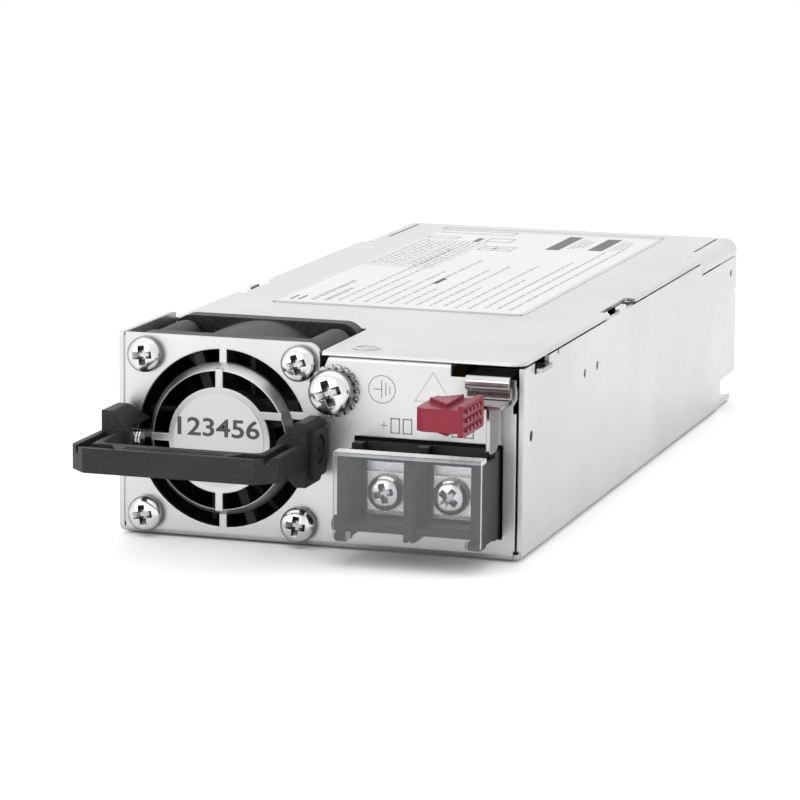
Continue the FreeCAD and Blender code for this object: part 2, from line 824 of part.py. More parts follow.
def make_handle():
    body = new_body()
    reach = -p.handle_reach
    inner_left = p.handle_left + p.arm_width
    inner_right = handle_right - p.arm_width
    loop = [
        (p.handle_left, 0),
        (p.handle_left, reach + p.handle_corner, 1.0),
        (p.handle_left + p.handle_corner, reach, 1.0),
        (handle_right - p.handle_corner, reach, 1.0),
        (handle_right, reach + p.handle_corner, 1.0),
        (handle_right, 0),
        (inner_right, 0),
        (inner_right, reach + p.bar_depth, 2.0),
        (inner_left, reach + p.bar_depth, 2.0),
        (inner_left, 0),
    ]
    pad(body, "XY", handle_low, p.bar_height, loop)
    half_boss = p.boss_height / 2
    half_bar = p.bar_height / 2
    wedges = []
    for start, sign in ((p.handle_left, 1), (handle_right, -1)):
        wedges.append(
            [
                (start, p.handle_z - half_boss),
                (start, p.handle_z + half_boss),
                (start + sign * p.boss_face, p.handle_z + half_boss, 0.5),
                (start + sign * p.boss_width, p.handle_z + half_bar, 0.5),
                (start + sign * p.boss_width, p.handle_z - half_bar, 0.5),
                (start + sign * p.boss_face, p.handle_z - half_boss, 0.5),
            ]
        )
    pad(body, "XZ", -p.boss_depth, p.boss_depth, *wedges)
    high = p.handle_z + half_boss
    low = p.handle_z - half_boss
    back_top = [(-3.6, high), (0, high - 3.2), (0, high + 1), (-3.6, high + 1)]
    back_low = [(-3.6, low), (0, low + 3.2), (0, low - 1), (-3.6, low - 1)]
    pocket(body, "YZ", p.handle_left, p.handle_width, back_top, back_low)
    pads = rectangle(-9.4, -1.0, p.handle_z - 5.2, p.handle_z + 4.2, 1.0)
    pad(body, "YZ", handle_right - 0.2, 0.7, pads)
    pad(body, "YZ", p.handle_left - 0.5, 0.7, pads)
    recess = (handle_screw_y, p.handle_z, 2.9)
    pocket(body, "YZ", handle_right - 0.9, 1.4, recess)
    pocket(body, "YZ", p.handle_left - 0.5, 1.4, recess)
    bore = (handle_screw_y, p.handle_z, p.machine_radius + 0.1)
    pocket(body, "YZ", p.handle_left, p.boss_face, bore)
    pocket(body, "YZ", handle_right - p.boss_face, p.boss_face, bore)

    slot = rectangle(-9.3, 0, p.handle_z - 3.9, p.handle_z + 3.9)
    for x in (ear_left, ear_right):
        pocket(body, "YZ", x - 0.1, p.ear_sheet + 0.2, slot)
    hollow_left = ear_left + p.ear_sheet
    hollow_right = handle_right - p.boss_width
    hollow_width = p.handle_left + p.boss_width - hollow_left
    for x in (hollow_left, hollow_right):
        hollow = rectangle(x, x + hollow_width, p.handle_z - 3.0, p.handle_z + 3.0)
        pocket(body, "XZ", -10.6, 10.6, hollow)

    top = p.handle_z + half_bar - p.pocket_depth
    rim = p.pocket_wall
    front = reach + rim
    back = reach + p.bar_depth - rim
    corner = 8.5
    arm_back = -p.boss_depth - 1.2
    left_trough = [
        (p.handle_left + rim, arm_back),
        (p.handle_left + rim, front, 1.6),
        (p.handle_left + rim + corner, front),
        (p.handle_left + rim + corner - 2.2, back),
        (inner_left - rim, back),
        (inner_left - rim, arm_back),
    ]
    right_trough = [(p.handle_left + handle_right - c[0],) + c[1:] for c in left_trough]
    pocket(body, "XY", top, p.pocket_depth, left_trough, right_trough)
    groove_left = p.handle_left + rim + corner + 1.2
    groove_right = handle_right - rim - corner - 1.2
    for y in (front + 0.5, front + 1.9):
        pocket(body, "XY", top + 0.8, p.pocket_depth, rectangle(groove_left, groove_right, y, y + 0.7))
    return finish(body, "handle")


def make_handle_screws():
    left = fuse(
        rod("X", p.handle_left - 0.3, handle_screw_y, p.handle_z, 2.7, 1.2),
        rod("X", p.handle_left + 0.9, handle_screw_y, p.handle_z, p.machine_radius - 0.05, 4.9),
    )
    right = fuse(
        rod("X", handle_right - 0.9, handle_screw_y, p.handle_z, 2.7, 1.2),
        rod("X", handle_right - 5.8, handle_screw_y, p.handle_z, p.machine_radius - 0.05, 4.9),
    )
    return finish(fuse(left, right), "handle_screws")


def make_fan_frame():
    body = new_body()
    half = p.fan_side / 2
    square = rectangle(-half, half, -half, half, p.fan_corner)
    pad(body, "XZ", fan_front, p.fan_flange, square, (0, 0, p.fan_bore))
    pad(body, "XZ", fan_back - p.fan_flange, p.fan_flange, square, (0, 0, p.fan_bore))
    duct_start = fan_front + p.fan_flange
    duct_length = p.fan_depth - 2 * p.fan_flange
    duct = ((0, 0, p.fan_bore + p.fan_duct_wall), (0, 0, p.fan_bore))
    pad(body, "XZ", duct_start, duct_length, *duct)
    posts = [(sx * half_fan, sz * half_fan, p.post_radius) for sx in (-1, 1) for sz in (-1, 1)]
    pad(body, "XZ", duct_start, p.post_length, *posts)
    pilots = [(x, z, p.pilot_radius) for x, z, _ in posts]
    pocket(body, "XZ", fan_front, p.post_length, *pilots)
    rear_holes = [(x, z, 2.1) for x, z, _ in posts]
    pocket(body, "XZ", fan_back - p.fan_flange, p.fan_flange, *rear_holes)
    lead_notch = rectangle(p.fan_bore - 2.2, half, 3.6, 8.8)
    pocket(body, "XZ", fan_front + 1.9, p.fan_flange - 1.9, lead_notch)

    plate_front = fan_front + 0.1
    pad(body, "XZ", plate_front, 1.5, (0, 0, p.hub_radius - 0.8))
    tube_outer = p.bearing_radius + p.tube_wall
    pad(body, "XZ", plate_front + 1.5, 14.4, (0, 0, tube_outer), (0, 0, p.bearing_radius))
    sketch = sketch_in(
        body,
        "XZ",
        plate_front,
        [rectangle(p.hub_radius - 2, p.fan_bore + 0.4, -p.strut_width / 2, p.strut_width / 2)],
    )
    strut = body.newObject("PartDesign::Pad", "Strut")
    strut.Profile = sketch
    bind(strut, "Length", p.strut_depth)
    strut.Reversed = True
    sketch.AttachmentOffset = FreeCAD.Placement(
        FreeCAD.Vector(0, 0, -plate_front.value), FreeCAD.Rotation(FreeCAD.Vector(0, 0, 1), 19)
    )
    bind_base(sketch, 0, 0, -plate_front, "AttachmentOffset")
    doc.recompute()
    polar_pattern(body, strut, "Y_Axis", 4)
    return finish(body, "fan_frame", p.fan_x, 0, p.fan_z)


rotor_front = fan_front + 4.4


def make_fan_rotor():
    body = new_body()
    back = rotor_front + p.hub_depth
    cup = [
        (p.shaft_radius, back),
        (p.hub_radius - 0.9, back),
        (p.hub_radius, back - 0.9),
        (p.hub_radius, rotor_front),
        (p.hub_radius - p.hub_wall, rotor_front),
        (p.hub_radius - p.hub_wall, back - 1.4),
        (p.shaft_radius + 1.4, back - 1.4),
        (p.shaft_radius + 1.4, back - 3.0),
        (p.shaft_radius, back - 3.0),
    ]
    revolve(body, "XY", 0, (0, 0), cup)
    doc.recompute()
    front_edge = rotor_front + 0.8
    middle = rotor_front + p.hub_depth / 2 - 0.4
    back_edge = back - 1.8
    thick = p.blade_thick
    section = [
        (front_edge, -4.6),
        (middle, -1.0),
        (back_edge, 4.0),
        (back_edge, 4.0 + thick),
        (middle, -1.0 + thick),
        (front_edge, -4.6 + thick),
    ]
    blade = pad(body, "YZ", p.blade_root, p.blade_tip - p.blade_root, section)
    doc.recompute()
    polar_pattern(body, blade, "Y_Axis", p.blade_count)
    inside = p.hub_radius - p.hub_wall
    pocket(body, "XZ", rotor_front, p.hub_depth - 1.4, (0, 0, inside), (0, 0, p.shaft_radius + 1.4))
    return finish(body, "fan_rotor", p.fan_x, 0, p.fan_z)


def fan_ring(node, start, length, outer, inner):
    return finish(tube("Y", 0, start, 0, outer, inner, length), node, p.fan_x, 0, p.fan_z)


def make_fan_motor():
    inside = p.hub_radius - p.hub_wall
    fan_ring("fan_magnet", rotor_front + 0.4, 9.0, inside, inside - 0.9)
    fan_ring("fan_board", fan_front + 2.15, 0.8, p.hub_radius - 1.2, p.bearing_radius + p.tube_wall + 0.1)
    outer = p.bearing_radius + p.tube_wall
    poles = tube("Y", 0, rotor_front + 1.0, 0, outer + 1.0, outer, 8.0)
    slots = [poles]
    for turn in (45, 135, 225, 315):
        pole = block(0, inside - 1.6, rotor_front + 2.0, rotor_front + 8.0, -1.5, 1.5)
        pole.Placement = FreeCAD.Placement(
            FreeCAD.Vector(), FreeCAD.Rotation(FreeCAD.Vector(0, 1, 0), turn)
        )
        along_pole = -1.5 * math.sin(math.radians(turn))
        across_pole = -1.5 * math.cos(math.radians(turn))
        bind_base(pole, along_pole, rotor_front + 2.0, across_pole)
        slots.append(pole)
    stator = cut(fuse(*slots), rod("Y", 0, rotor_front, 0, outer, 10.0))
    finish(stator, "fan_stator", p.fan_x, 0, p.fan_z)
    shaft_start = fan_front + 1.9
    shaft = rod("Y", 0, shaft_start, 0, p.shaft_radius, rotor_front + p.hub_depth - shaft_start)
    finish(fuse(shaft), "fan_shaft", p.fan_x, 0, p.fan_z)
    inner = p.shaft_radius + p.shaft_play
    bearings = [
        tube("Y", 0, start, 0, p.bearing_radius, inner, p.bearing_length)
        for start in (fan_front + 2.2, fan_front + 13.0)
    ]
    finish(fuse(*bearings), "fan_bearings", p.fan_x, 0, p.fan_z)


def make_fan_screws():
    screws = []
    for sx in (-1, 1):
        for sz in (-1, 1):
            x = sx * half_fan
            z = sz * half_fan
            screws.append(rod("Y", x, -p.pan_height, z, p.pan_radius, p.pan_height))
            screws.append(rod("Y", x, 0, z, p.pilot_radius - 0.02, 13))
    return finish(fuse(*screws), "fan_screws", p.fan_x, 0, p.fan_z)


def make_ground_screw():
    x = ground_x
    z = p.ground_z
    face = -p.washer_sheet
    top = face - p.ground_height
    head = fuse(
        cone("Y", x, top, z, p.ground_head - 1.3, p.ground_head, 1.3),
        rod("Y", x, top + 1.3, z, p.ground_head, p.ground_height - 1.3),
        rod("Y", x, face, z, p.ground_shank, 6.5),
    )
    finish(head, "ground_screw")
    teeth = []
    count = 12
    for k in range(2 * count):
        radius = p.washer_radius - (0 if k % 2 else 1.0)
        angle = math.radians(360 / (2 * count) * k)
        teeth.append((x + radius * math.cos(angle), z + radius * math.sin(angle)))
    star = prism("XZ", face, p.washer_sheet, teeth)
    finish(cut(star, rod("Y", x, face - 1, z, p.ground_shank + 0.1, 3)), "ground_washer")


def make_terminal_block():
    body = new_body()
    base = rectangle(block_left, block_right, block_low, block_high)
    pad(body, "XZ", block_face, p.block_back - block_face, base)
    barrier_low = block_low + 0.4
    barrier_high = block_high - 1.0
    middle = (block_left + block_right) / 2
    walls = [
        rectangle(block_left, block_left + p.barrier, barrier_low, barrier_high),
        rectangle(middle - p.barrier / 2, middle + p.barrier / 2, barrier_low, barrier_high),
        rectangle(block_right - p.barrier, block_right, barrier_low, barrier_high),
    ]
    pad(body, "XZ", -p.block_reach, p.block_reach + block_face, *walls)
    floor_low = block_low + 1.8
    floor = rectangle(block_left + 1, block_right - 1, floor_low, floor_low + p.block_wall)
    pad(body, "XZ", -p.block_reach + 0.6, p.block_reach + block_face, floor)
    for x in terminal_xs:
        well = rectangle(x - bay_width / 2, x + bay_width / 2, block_high - 2.6, block_high)
        pocket(body, "XZ", block_face, -block_face - 0.8, well)
    grooves = []
    for x in (block_left, middle - p.barrier / 2, block_right - p.barrier):
        grooves.append(rectangle(x + 0.8, x + 1.4, barrier_high - 0.6, barrier_high))
        grooves.append(rectangle(x + 0.8, x + 1.4, barrier_low, barrier_low + 0.9))
    pocket(body, "XZ", -p.block_reach, p.block_reach + block_face, *grooves)
    pad(body, "YZ", block_left - 1.1, 1.4, (-p.block_reach + 1.5, 7.5, 1.5))
    for x in terminal_xs:
        slot = rectangle(x - 3.05, x + 3.05, p.terminal_z + 4.35, p.terminal_z + 4.4 + p.contact_sheet)
        pocket(body, "XZ", block_face, p.block_back - block_face, slot)
        pocket(body, "XZ", block_face, 5.6, (x, p.terminal_z, p.terminal_shank + 0.05))
    knuckle = [
        (lid_y - 0.9, p.lid_axis_z - 0.9, 0.85),
        (-p.block_reach + 3, p.lid_axis_z - 0.9),
        (-p.block_reach + 3, p.lid_axis_z + 0.9),
        (lid_y - 0.9, p.lid_axis_z + 0.9, 0.85),
    ]
    eye = (lid_y, p.lid_axis_z, p.lid_pin + p.lid_play)
    for x in (block_left, block_right - p.barrier):
        pad(body, "YZ", x, p.barrier, knuckle)
        pocket(body, "YZ", x, p.barrier, eye)
    return finish(body, "terminal_block")


def make_terminal_fittings():
    bars = []
    clamps = []
    screws = []
    for x in terminal_xs:
        z = p.terminal_z
        hole = rod("Y", x, clamp_face - 1, z, p.terminal_shank + 0.1, 6)
        bar = fuse(
            block(x - 4.2, x + 4.2, contact_face, block_face, z - 4.8, z + 4.4 + p.contact_sheet),
            block(x - 3, x + 3, block_face, 11, z + 4.4, z + 4.4 + p.contact_sheet),
        )
        bars.append(cut(bar, hole))
        half = p.clamp_side / 2
        hole = rod("Y", x, clamp_face - 1, z, p.terminal_shank + 0.1, 6)
        plate = block(x - half, x + half, clamp_face, contact_face, z - half, z + half)
        clamps.append(cut(plate, hole))
        top = clamp_face - p.terminal_head_height
        screws.append(rod("Y", x, top, z, p.terminal_head, p.terminal_head_height))
        screws.append(rod("Y", x, clamp_face, z, p.terminal_shank, 6.5))
    finish(fuse(*bars), "terminal_bars")
    finish(fuse(*clamps), "terminal_clamps")
    finish(fuse(*screws), "terminal_screws")


def make_terminal_lid():
    body = new_body()
    half = p.lid_sheet / 2
    top = block_high - 0.75
    profile = [
        (lid_y - half, p.lid_axis_z - half, half - 0.02),
        (lid_y + half, p.lid_axis_z - half, half - 0.02),
        (lid_y + half, top),
        (lid_y + half + 1.6, top),
        (lid_y + half + 1.6, top + p.lid_sheet),
        (lid_y - half, top + p.lid_sheet, 0.3),
    ]
    pad(body, "YZ", block_left, block_right - block_left + 0.4, profile)
    corner_left = rectangle(block_left, block_left + p.barrier + 0.2, 4, p.lid_axis_z + 1.3)
    corner_right = rectangle(block_right - p.barrier - 0.2, block_right + 1, 4, p.lid_axis_z + 1.3)
    pocket(body, "XZ", lid_y - 2, 4, corner_left, corner_right)
    pin = (lid_y, p.lid_axis_z, p.lid_pin)
    pad(body, "YZ", block_left + 0.6, p.barrier, pin)
    pad(body, "YZ", block_right - 0.6 - p.barrier, p.barrier, pin)
    return finish(body, "terminal_lid")


def make_latch_lever():
    body = new_body()
    t = p.lever_sheet
    eye_low = p.bracket_low + 1.0
    eye_top = eye_low + 5.0
    arm = [
        (fan_front + 0.6, p.lever_low),
        (p.pivot_y, p.lever_low),
        (p.pivot_y, eye_top),
        (p.pivot_y - 5, eye_top, 1.5),
        (p.pivot_y - 14, p.lever_high, 1.5),
        (fan_front + 0.6, p.lever_high),
    ]
    pad(body, "YZ", lever_x, t, arm)
    eye_outer = p.pivot_radius + p.eye_wall
    pad(body, "XY", eye_low, 5.0, (pivot_x, p.pivot_y, eye_outer))
    web = rectangle(pivot_x, lever_x + t, p.pivot_y - 1.2, p.pivot_y)
    pad(body, "XY", p.lever_low, 1.6, web)
    pocket(body, "XY", eye_low, 5.0, (pivot_x, p.pivot_y, p.pivot_radius + p.pivot_play))
    high = p.lever_high - t / 2
    path = [
        (7.0, high),
        (-p.roll_front, high),
        (-p.roll_front, p.roll_mid),
        (-p.roll_neck, p.roll_mid),
        (-p.roll_neck, p.shelf_z),
        (-p.shelf_reach, p.shelf_z),
    ]
    pad(body, "YZ", roll_left, roll_right - roll_left, ribbon(path, t, 0.7))
    tooth = [
        (lever_x, p.tooth_front),
        (tooth_reach, p.tooth_front, 1.2),
        (tooth_reach, p.tooth_back, 0.6),
        (lever_x, p.tooth_back),
    ]
    pad(body, "XY", p.lever_high - t, t, tooth)
    tab = [
        (-p.shelf_reach + 0.8, p.shelf_z),
        (-p.shelf_reach + 0.8, 22.0, 0.8),
        (-1.6, 22.0, 2.4),
        (-1.6, p.shelf_z),
    ]
    pad(body, "YZ", grip_right - 0.2, t, tab)
    tongue = rectangle(roll_left, grip_right - 2.2, -p.grip_front + 2.5, -p.shelf_reach + 1)
    pad(body, "XY", p.shelf_z - t / 2, t, tongue)
    return finish(body, "latch_lever")


def make_latch_grip():
    body = new_body()
    front = -p.grip_front
    back = -p.grip_back
    plate_left = grip_right - p.grip_plate
    outline = [
        (grip_left, back),
        (grip_left, front + 1.2, 0.6),
        (grip_left + 1.5, front, 0.5),
        (plate_left, front),
        (plate_left, back),
    ]
    pad(body, "XY", p.grip_low, p.grip_high - p.grip_low, outline)
    flare = p.grip_flare
    end_plate = [
        (front, p.grip_low - flare, 0.5),
        (back, p.grip_low - flare, 0.5),
        (back, p.grip_high + flare, 0.5),
        (front, p.grip_high + flare, 0.5),
    ]
    pad(body, "YZ", plate_left, p.grip_plate, end_plate)
    middle = (front + back) / 2
    arrow = [(grip_left + 0.8, middle), (plate_left - 2.4, middle - 5.4), (plate_left - 2.4, middle + 5.4)]
    pad(body, "XY", p.grip_high, 0.9, arrow)
    pad(body, "XY", p.grip_low - 0.9, 0.9, arrow)
    teeth = []
    for line in range(3):
        for place in range(5):
            y = front + 1.4 + place * 2.3
            z = p.grip_low + 0.1 + line * 1.8
            teeth.append(rectangle(y, y + 1.1, z, z + 0.8))
    pad(body, "YZ", grip_right, 0.5, *teeth)
    t = p.lever_sheet
    slot = rectangle(
        roll_left - 0.05, grip_right - 2.15, p.shelf_z - t / 2 - 0.05, p.shelf_z + t / 2 + 0.05
    )
    pocket(body, "XZ", front + 2.45, p.grip_front - p.grip_back - 2.45, slot)
    return finish(body, "latch_grip")


def make_latch_fittings():
    t = p.bracket_sheet
    plate_x = wall_inner - t
    plate = block(plate_x, wall_inner, p.pivot_y - 8, p.pivot_y + 10, p.bracket_low, p.bracket_high)
    ears = [
        block(pivot_x - 2.6, wall_inner, p.pivot_y - 3, p.pivot_y + 3, z, z + t)
        for z in (p.bracket_low, p.bracket_high - t)
    ]
    tools = [rod("Z", pivot_x, p.pivot_y, p.bracket_low - 1, p.pivot_radius + 0.01, 14)]
    for y in (p.rivet_first, p.rivet_second):
        tools.append(rod("X", plate_x - 1, y, p.rivet_z, p.rivet_radius, 3))
    finish(cut(fuse(plate, *ears), *tools), "latch_bracket")
    pin = fuse(
        rod("Z", pivot_x, p.pivot_y, p.bracket_low - 0.5, p.pivot_radius, 12.0),
        rod("Z", pivot_x, p.pivot_y, p.bracket_high, p.pivot_radius + 0.7, 0.7),
    )
    finish(pin, "latch_pin")
    rivets = []
    for y in (p.rivet_first, p.rivet_second):
        rivets.append(rod("X", plate_x, y, p.rivet_z, p.rivet_radius - 0.02, p.sheet + t - 0.4))
        rivets.append(rod("X", plate_x - 0.4, y, p.rivet_z, p.rivet_radius + 0.9, 0.4))
    finish(fuse(*rivets), "latch_rivets")
    low = p.bracket_low + 6.4
    coil = tube("Z", pivot_x, p.pivot_y, low, p.pivot_radius + 0.8, p.pivot_radius + 0.15, 2.4)
    wire = 0.3
    turn_radius = p.pivot_radius + 0.475
    front_leg = rod("Y", pivot_x - turn_radius, p.pivot_y, low + 0.4, wire, 6.4)
    slant = FreeCAD.Rotation(FreeCAD.Vector(0, 0, 1), FreeCAD.Vector(2.2, -6.0, 0))
    front_leg.Placement = FreeCAD.Placement(FreeCAD.Vector(), slant)
    bind_base(front_leg, pivot_x - turn_radius, p.pivot_y, low + 0.4)
    back_leg = rod("Y", pivot_x + turn_radius, p.pivot_y, low + 2.0, wire, 8)
    finish(fuse(coil, front_leg, back_leg), "latch_spring")


def make_board():
    middle = p.body_width / 2
    outline = [
        (board_left, p.board_front),
        (board_right, p.board_front),
        (board_right, board_back - 8),
        (middle + p.edge_width / 2, board_back - 8),
        (middle + p.edge_width / 2, p.body_length - 1, 1.0),
        (middle - p.edge_width / 2, p.body_length - 1, 1.0),
        (middle - p.edge_width / 2, board_back - 8),
        (board_left, board_back - 8),
    ]
    return outline


def hexagon(x, y, reach):
    corners = []
    for k in range(6):
        angle = math.radians(60 * k)
        corners.append((x + reach * math.cos(angle), y + reach * math.sin(angle)))
    return corners


def make_inner_parts():
    outline = make_board()
    holes = [(x, y, p.board_screw_radius + 0.2) for x, y in standoff_spots]
    board = prism("XY", p.board_z, p.board_sheet, outline)
    finish(cut(board, *[rod("Z", x, y, p.board_z - 1, r, 4) for x, y, r in holes]), "main_board")
    posts = []
    bores = []
    for x, y in standoff_spots:
        corners = hexagon(x, y, p.standoff_radius)
        posts.append(prism("XY", p.sheet, p.board_z - p.sheet, corners))
        posts.append(rod("Z", x, y, 0.2, p.machine_radius - 0.05, 1.0))
        bores.append(rod("Z", x, y, board_top - 4.6, p.board_screw_radius, 4.6))
    finish(cut(fuse(*posts), *bores), "board_standoffs")
    screws = []
    for x, y in standoff_spots:
        screws.append(rod("Z", x, y, board_top - 4.5, p.board_screw_radius - 0.02, 4.5))
        screws.append(prism("XY", board_top, 1.6, hexagon(x, y, 2.7)))
    finish(fuse(*screws), "board_screws")
    sheet_left = board_left + 8
    sheet_right = board_right - 8
    film = block(sheet_left, sheet_right, p.board_front + 2, board_back - 16, p.sheet, p.sheet + 0.4)
    finish(fuse(film), "insulating_sheet")

    contacts = []
    middle = p.body_width / 2
    edge_left = middle - p.edge_width / 2
    for place in range(10):
        x = edge_left + 3 + place * 4.7
        for z in (board_top, p.board_z - 0.15):
            contacts.append(block(x, x + 3.4, board_back - 3, p.body_length - 2, z, z + 0.15))
    finish(fuse(*contacts), "edge_contacts")

    z = board_top
    fuse_x = wall_inner - 10
    fuse_body = fuse(
        rod("Y", fuse_x, 46, z + 3.6, 3.0, 22),
        rod("Z", fuse_x, 48, z, 0.5, 1.5),
        rod("Z", fuse_x, 66, z, 0.5, 1.5),
    )
    finish(fuse_body, "input_fuse")
    choke_x = wall_inner - 24
    core = tube("Y", choke_x, 46, z + 9.9, 8.5, 4.5, 9)
    finish(fuse(core, block(choke_x - 7, choke_x + 7, 45, 56, z, z + 1.8)), "input_choke")
    cans = [rod("Z", choke_x, y, z, 7.6, 23) for y in (74, 91)]
    finish(fuse(*cans), "input_capacitors")
    plates = [block(24, 48, 92, 112, low, low + 5) for low in (z, z + 19)]
    legs = [block(x0, x1, 92, 112, z + 5, z + 19) for x0, x1 in ((24, 27), (45, 48))]
    centre_leg = rod("Z", 36, 102, z + 5, 4.5, 14)
    finish(fuse(*plates, *legs, centre_leg), "transformer_core")
    winding = cut(
        block(27.4, 44.6, 93.4, 110.6, z + 5.4, z + 18.6),
        block(31.2, 40.8, 97.2, 106.8, z + 5, z + 19),
    )
    finish(winding, "transformer_winding")
    finish(fuse(block(choke_x - 8, choke_x + 12, 112, 132, z, z + 10)), "output_inductor")
    sinks = []
    for x, y0, y1 in ((9.0, 46, 84), (9.0, 96, 150)):
        sinks.append(block(x, x + 2.5, y0, y1, z, z + 25))
        fins = 4
        for k in range(fins):
            y = y0 + 2 + k * (y1 - y0 - 7) / (fins - 1)
            sinks.append(block(x - 4.5, x, y, y + 1.8, z + 3, z + 25))
    finish(fuse(*sinks), "heat_sinks")
    packs = []
    for y in (50, 64, 102, 118, 134):
        packs.append(block(11.5, 15.5, y, y + 10, z + 4, z + 17))
        for lead in (2.5, 5, 7.5):
            packs.append(block(13.2, 13.8, y + lead - 0.4, y + lead + 0.4, z, z + 4))
    finish(fuse(*packs), "power_transistors")
    card_x = wall_inner - 8
    card = block(card_x, card_x + 1.6, 84, 146, z, z + 22)
    chips = [block(card_x - 1.6, card_x, y, y + 8, z + 6, z + 14) for y in (92, 110, 128)]
    finish(fuse(card, *chips), "control_card")
    pitch = (wall_inner - 40) / 3
    outputs = [rod("Z", 26 + place * pitch, 148, z, 6.2, 20) for place in range(4)]
    finish(fuse(*outputs), "output_capacitors")


def lead_path(corners, radius):
    """Straight runs joined by tangent arcs, as one wire."""
    points = [FreeCAD.Vector(*[as_size(v).value for v in corner]) for corner in corners]
    pieces = []
    start = points[0]
    for previous, corner, following in zip(points, points[1:], points[2:]):
        back = (previous - corner).normalize()
        ahead = (following - corner).normalize()
        half_turn = back.getAngle(ahead) / 2
        reach = radius / math.tan(half_turn)
        arc_start = corner + back * reach
        arc_end = corner + ahead * reach
        inward = (back + ahead).normalize()
        centre = corner + inward * (radius / math.sin(half_turn))
        middle = centre - inward * radius
        pieces.append(Part.LineSegment(start, arc_start).toShape())
        pieces.append(Part.Arc(arc_start, middle, arc_end).toShape())
        start = arc_end
    pieces.append(Part.LineSegment(start, points[-1]).toShape())
    return Part.Wire(pieces)


def make_fan_leads():
    thickness = 0.45
    for name, height, drop in (("blue", 27.0, 3.2), ("red", 25.8, 1.6), ("black", 24.6, 0)):
        corners = [
            (24.5, 4.45, height),
            (43.0, 4.45, height),
            (43.0, 39.0 + drop, height),
            (43.0, 39.0 + drop, board_top + 7.0),
        ]
        wire = lead_path(corners, 1.4)
        start = wire.Vertexes[0].Point
        corners = []
        for k in range(7):
            angle = math.radians(60 * k)
            corners.append(
                start + FreeCAD.Vector(0, thickness * math.cos(angle), thickness * math.sin(angle))
            )
        feature = doc.addObject("Part::Feature", "Lead")
        feature.Shape = wire.makePipeShell([Part.makePolygon(corners)], True, True)
        finish(feature, "fan_lead_" + name)
    z = board_top
    socket = cut(block(40.6, 45.4, 37.0, 44.2, z, z + 5.6), block(41.4, 44.6, 37.8, 43.4, z + 1.5, z + 6))
    finish(socket, "fan_socket")
    plug = block(41.5, 44.5, 37.9, 43.3, z + 1.6, z + 7.0)
    finish(fuse(plug), "fan_plug")


def make_labels():
    label_top = p.cover_top + p.label_sheet
    sheet = block(p.label_left, label_right, p.label_front, p.label_back, p.cover_top, label_top)
    finish(fuse(sheet), "rating_label")
    disc = rod("Y", p.fan_x, -p.guard_rise - p.label_sheet, p.fan_z, p.guard_disc - 1.2, p.label_sheet)
    finish(fuse(disc), "guard_label")


make_chassis()
make_top_cover()
make_rear_panel()
make_handle()
make_handle_screws()
make_fan_frame()
make_fan_rotor()
make_fan_motor()
make_fan_screws()
make_ground_screw()
make_terminal_block()
make_terminal_fittings()
make_terminal_lid()
make_latch_lever()
make_latch_grip()
make_latch_fittings()
make_inner_parts()
make_fan_leads()
make_labels()

doc.recompute()
faults = []
for thing in doc.Objects:
    if "Invalid" in thing.State or "Error" in thing.State:
        faults.append("%s (%s)" % (thing.Name, thing.Label))
for thing in sub_parts:
    if thing.Shape.isNull() or not thing.Shape.isValid() or not thing.Shape.Solids:
        faults.append("%s has no good shape" % thing.Label)
if faults:
    raise RuntimeError("; ".join(faults))

os.makedirs("parts", exist_ok=True)
for thing in sub_parts:
    thing.Shape.exportStep("parts/%s.step" % thing.Label)
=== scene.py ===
"""Looks of a hot-plug power supply module: metal case, fan, handle, terminal block, latch.

Places are given in millimetres from the casing's front left lower corner and turned into the row
frame by at(). Radii, heights and lengths of turned and cut meshes are in metres.
"""
import json
import math
import random

import bmesh
import bpy
from mathutils import Matrix, Vector


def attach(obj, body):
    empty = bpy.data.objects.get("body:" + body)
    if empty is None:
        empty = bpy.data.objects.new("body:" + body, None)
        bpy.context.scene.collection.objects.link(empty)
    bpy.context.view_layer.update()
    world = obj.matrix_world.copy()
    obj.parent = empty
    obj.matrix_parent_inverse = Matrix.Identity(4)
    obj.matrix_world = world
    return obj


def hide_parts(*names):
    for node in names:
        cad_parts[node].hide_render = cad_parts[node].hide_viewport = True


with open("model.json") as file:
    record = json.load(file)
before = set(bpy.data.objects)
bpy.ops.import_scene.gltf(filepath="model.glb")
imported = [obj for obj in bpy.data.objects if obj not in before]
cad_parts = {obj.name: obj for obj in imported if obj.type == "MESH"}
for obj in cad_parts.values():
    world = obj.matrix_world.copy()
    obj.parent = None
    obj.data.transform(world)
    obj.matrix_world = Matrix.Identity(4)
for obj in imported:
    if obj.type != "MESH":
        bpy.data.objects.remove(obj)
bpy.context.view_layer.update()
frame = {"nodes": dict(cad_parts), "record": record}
nodes = frame["nodes"]

random.seed(7)

# Directions
FORWARD = (0, -1, 0)
UP = (0, 0, 1)
ACROSS = (1, 0, 0)

# Places, in millimetres
HALF_WIDTH = 41.5
HALF_LENGTH = 94.0
COVER_TOP = 38.8
LABEL_TOP = COVER_TOP + 0.15
PRINT_LIFT = 0.02
FAN_X = 21.8
FAN_Z = 20.2
FAN_SCREW_REACH = 16
GROUND_X = 44.8
GROUND_SEAT = -0.9
GROUND_Z = 31.2
TERMINAL_SCREW_PLACES = (57.53, 70.58)
TERMINAL_SCREW_SEAT = -5.9
TERMINAL_SCREW_Z = 13.2
HANDLE_SCREW_SEATS = ((2.1, 1), (42.3, -1))
HANDLE_SCREW_Y = -5.2
HANDLE_SCREW_Z = 20.4
LID_LEFT = 49.6
LID_RIGHT = 79.0
LID_FRONT = -15.0
LID_BACK = -14.2
LID_LOW = 4.7
LID_HIGH = 22.2
LIP_BACK = -11.4
LIP_LOW = 21.3
LID_PINS = ((51.0, 1), (77.1, -1))
LID_PIN_Y = -13.2
LID_PIN_Z = 5.4
EARTH_X = 54.5
EARTH_Z = 32.03
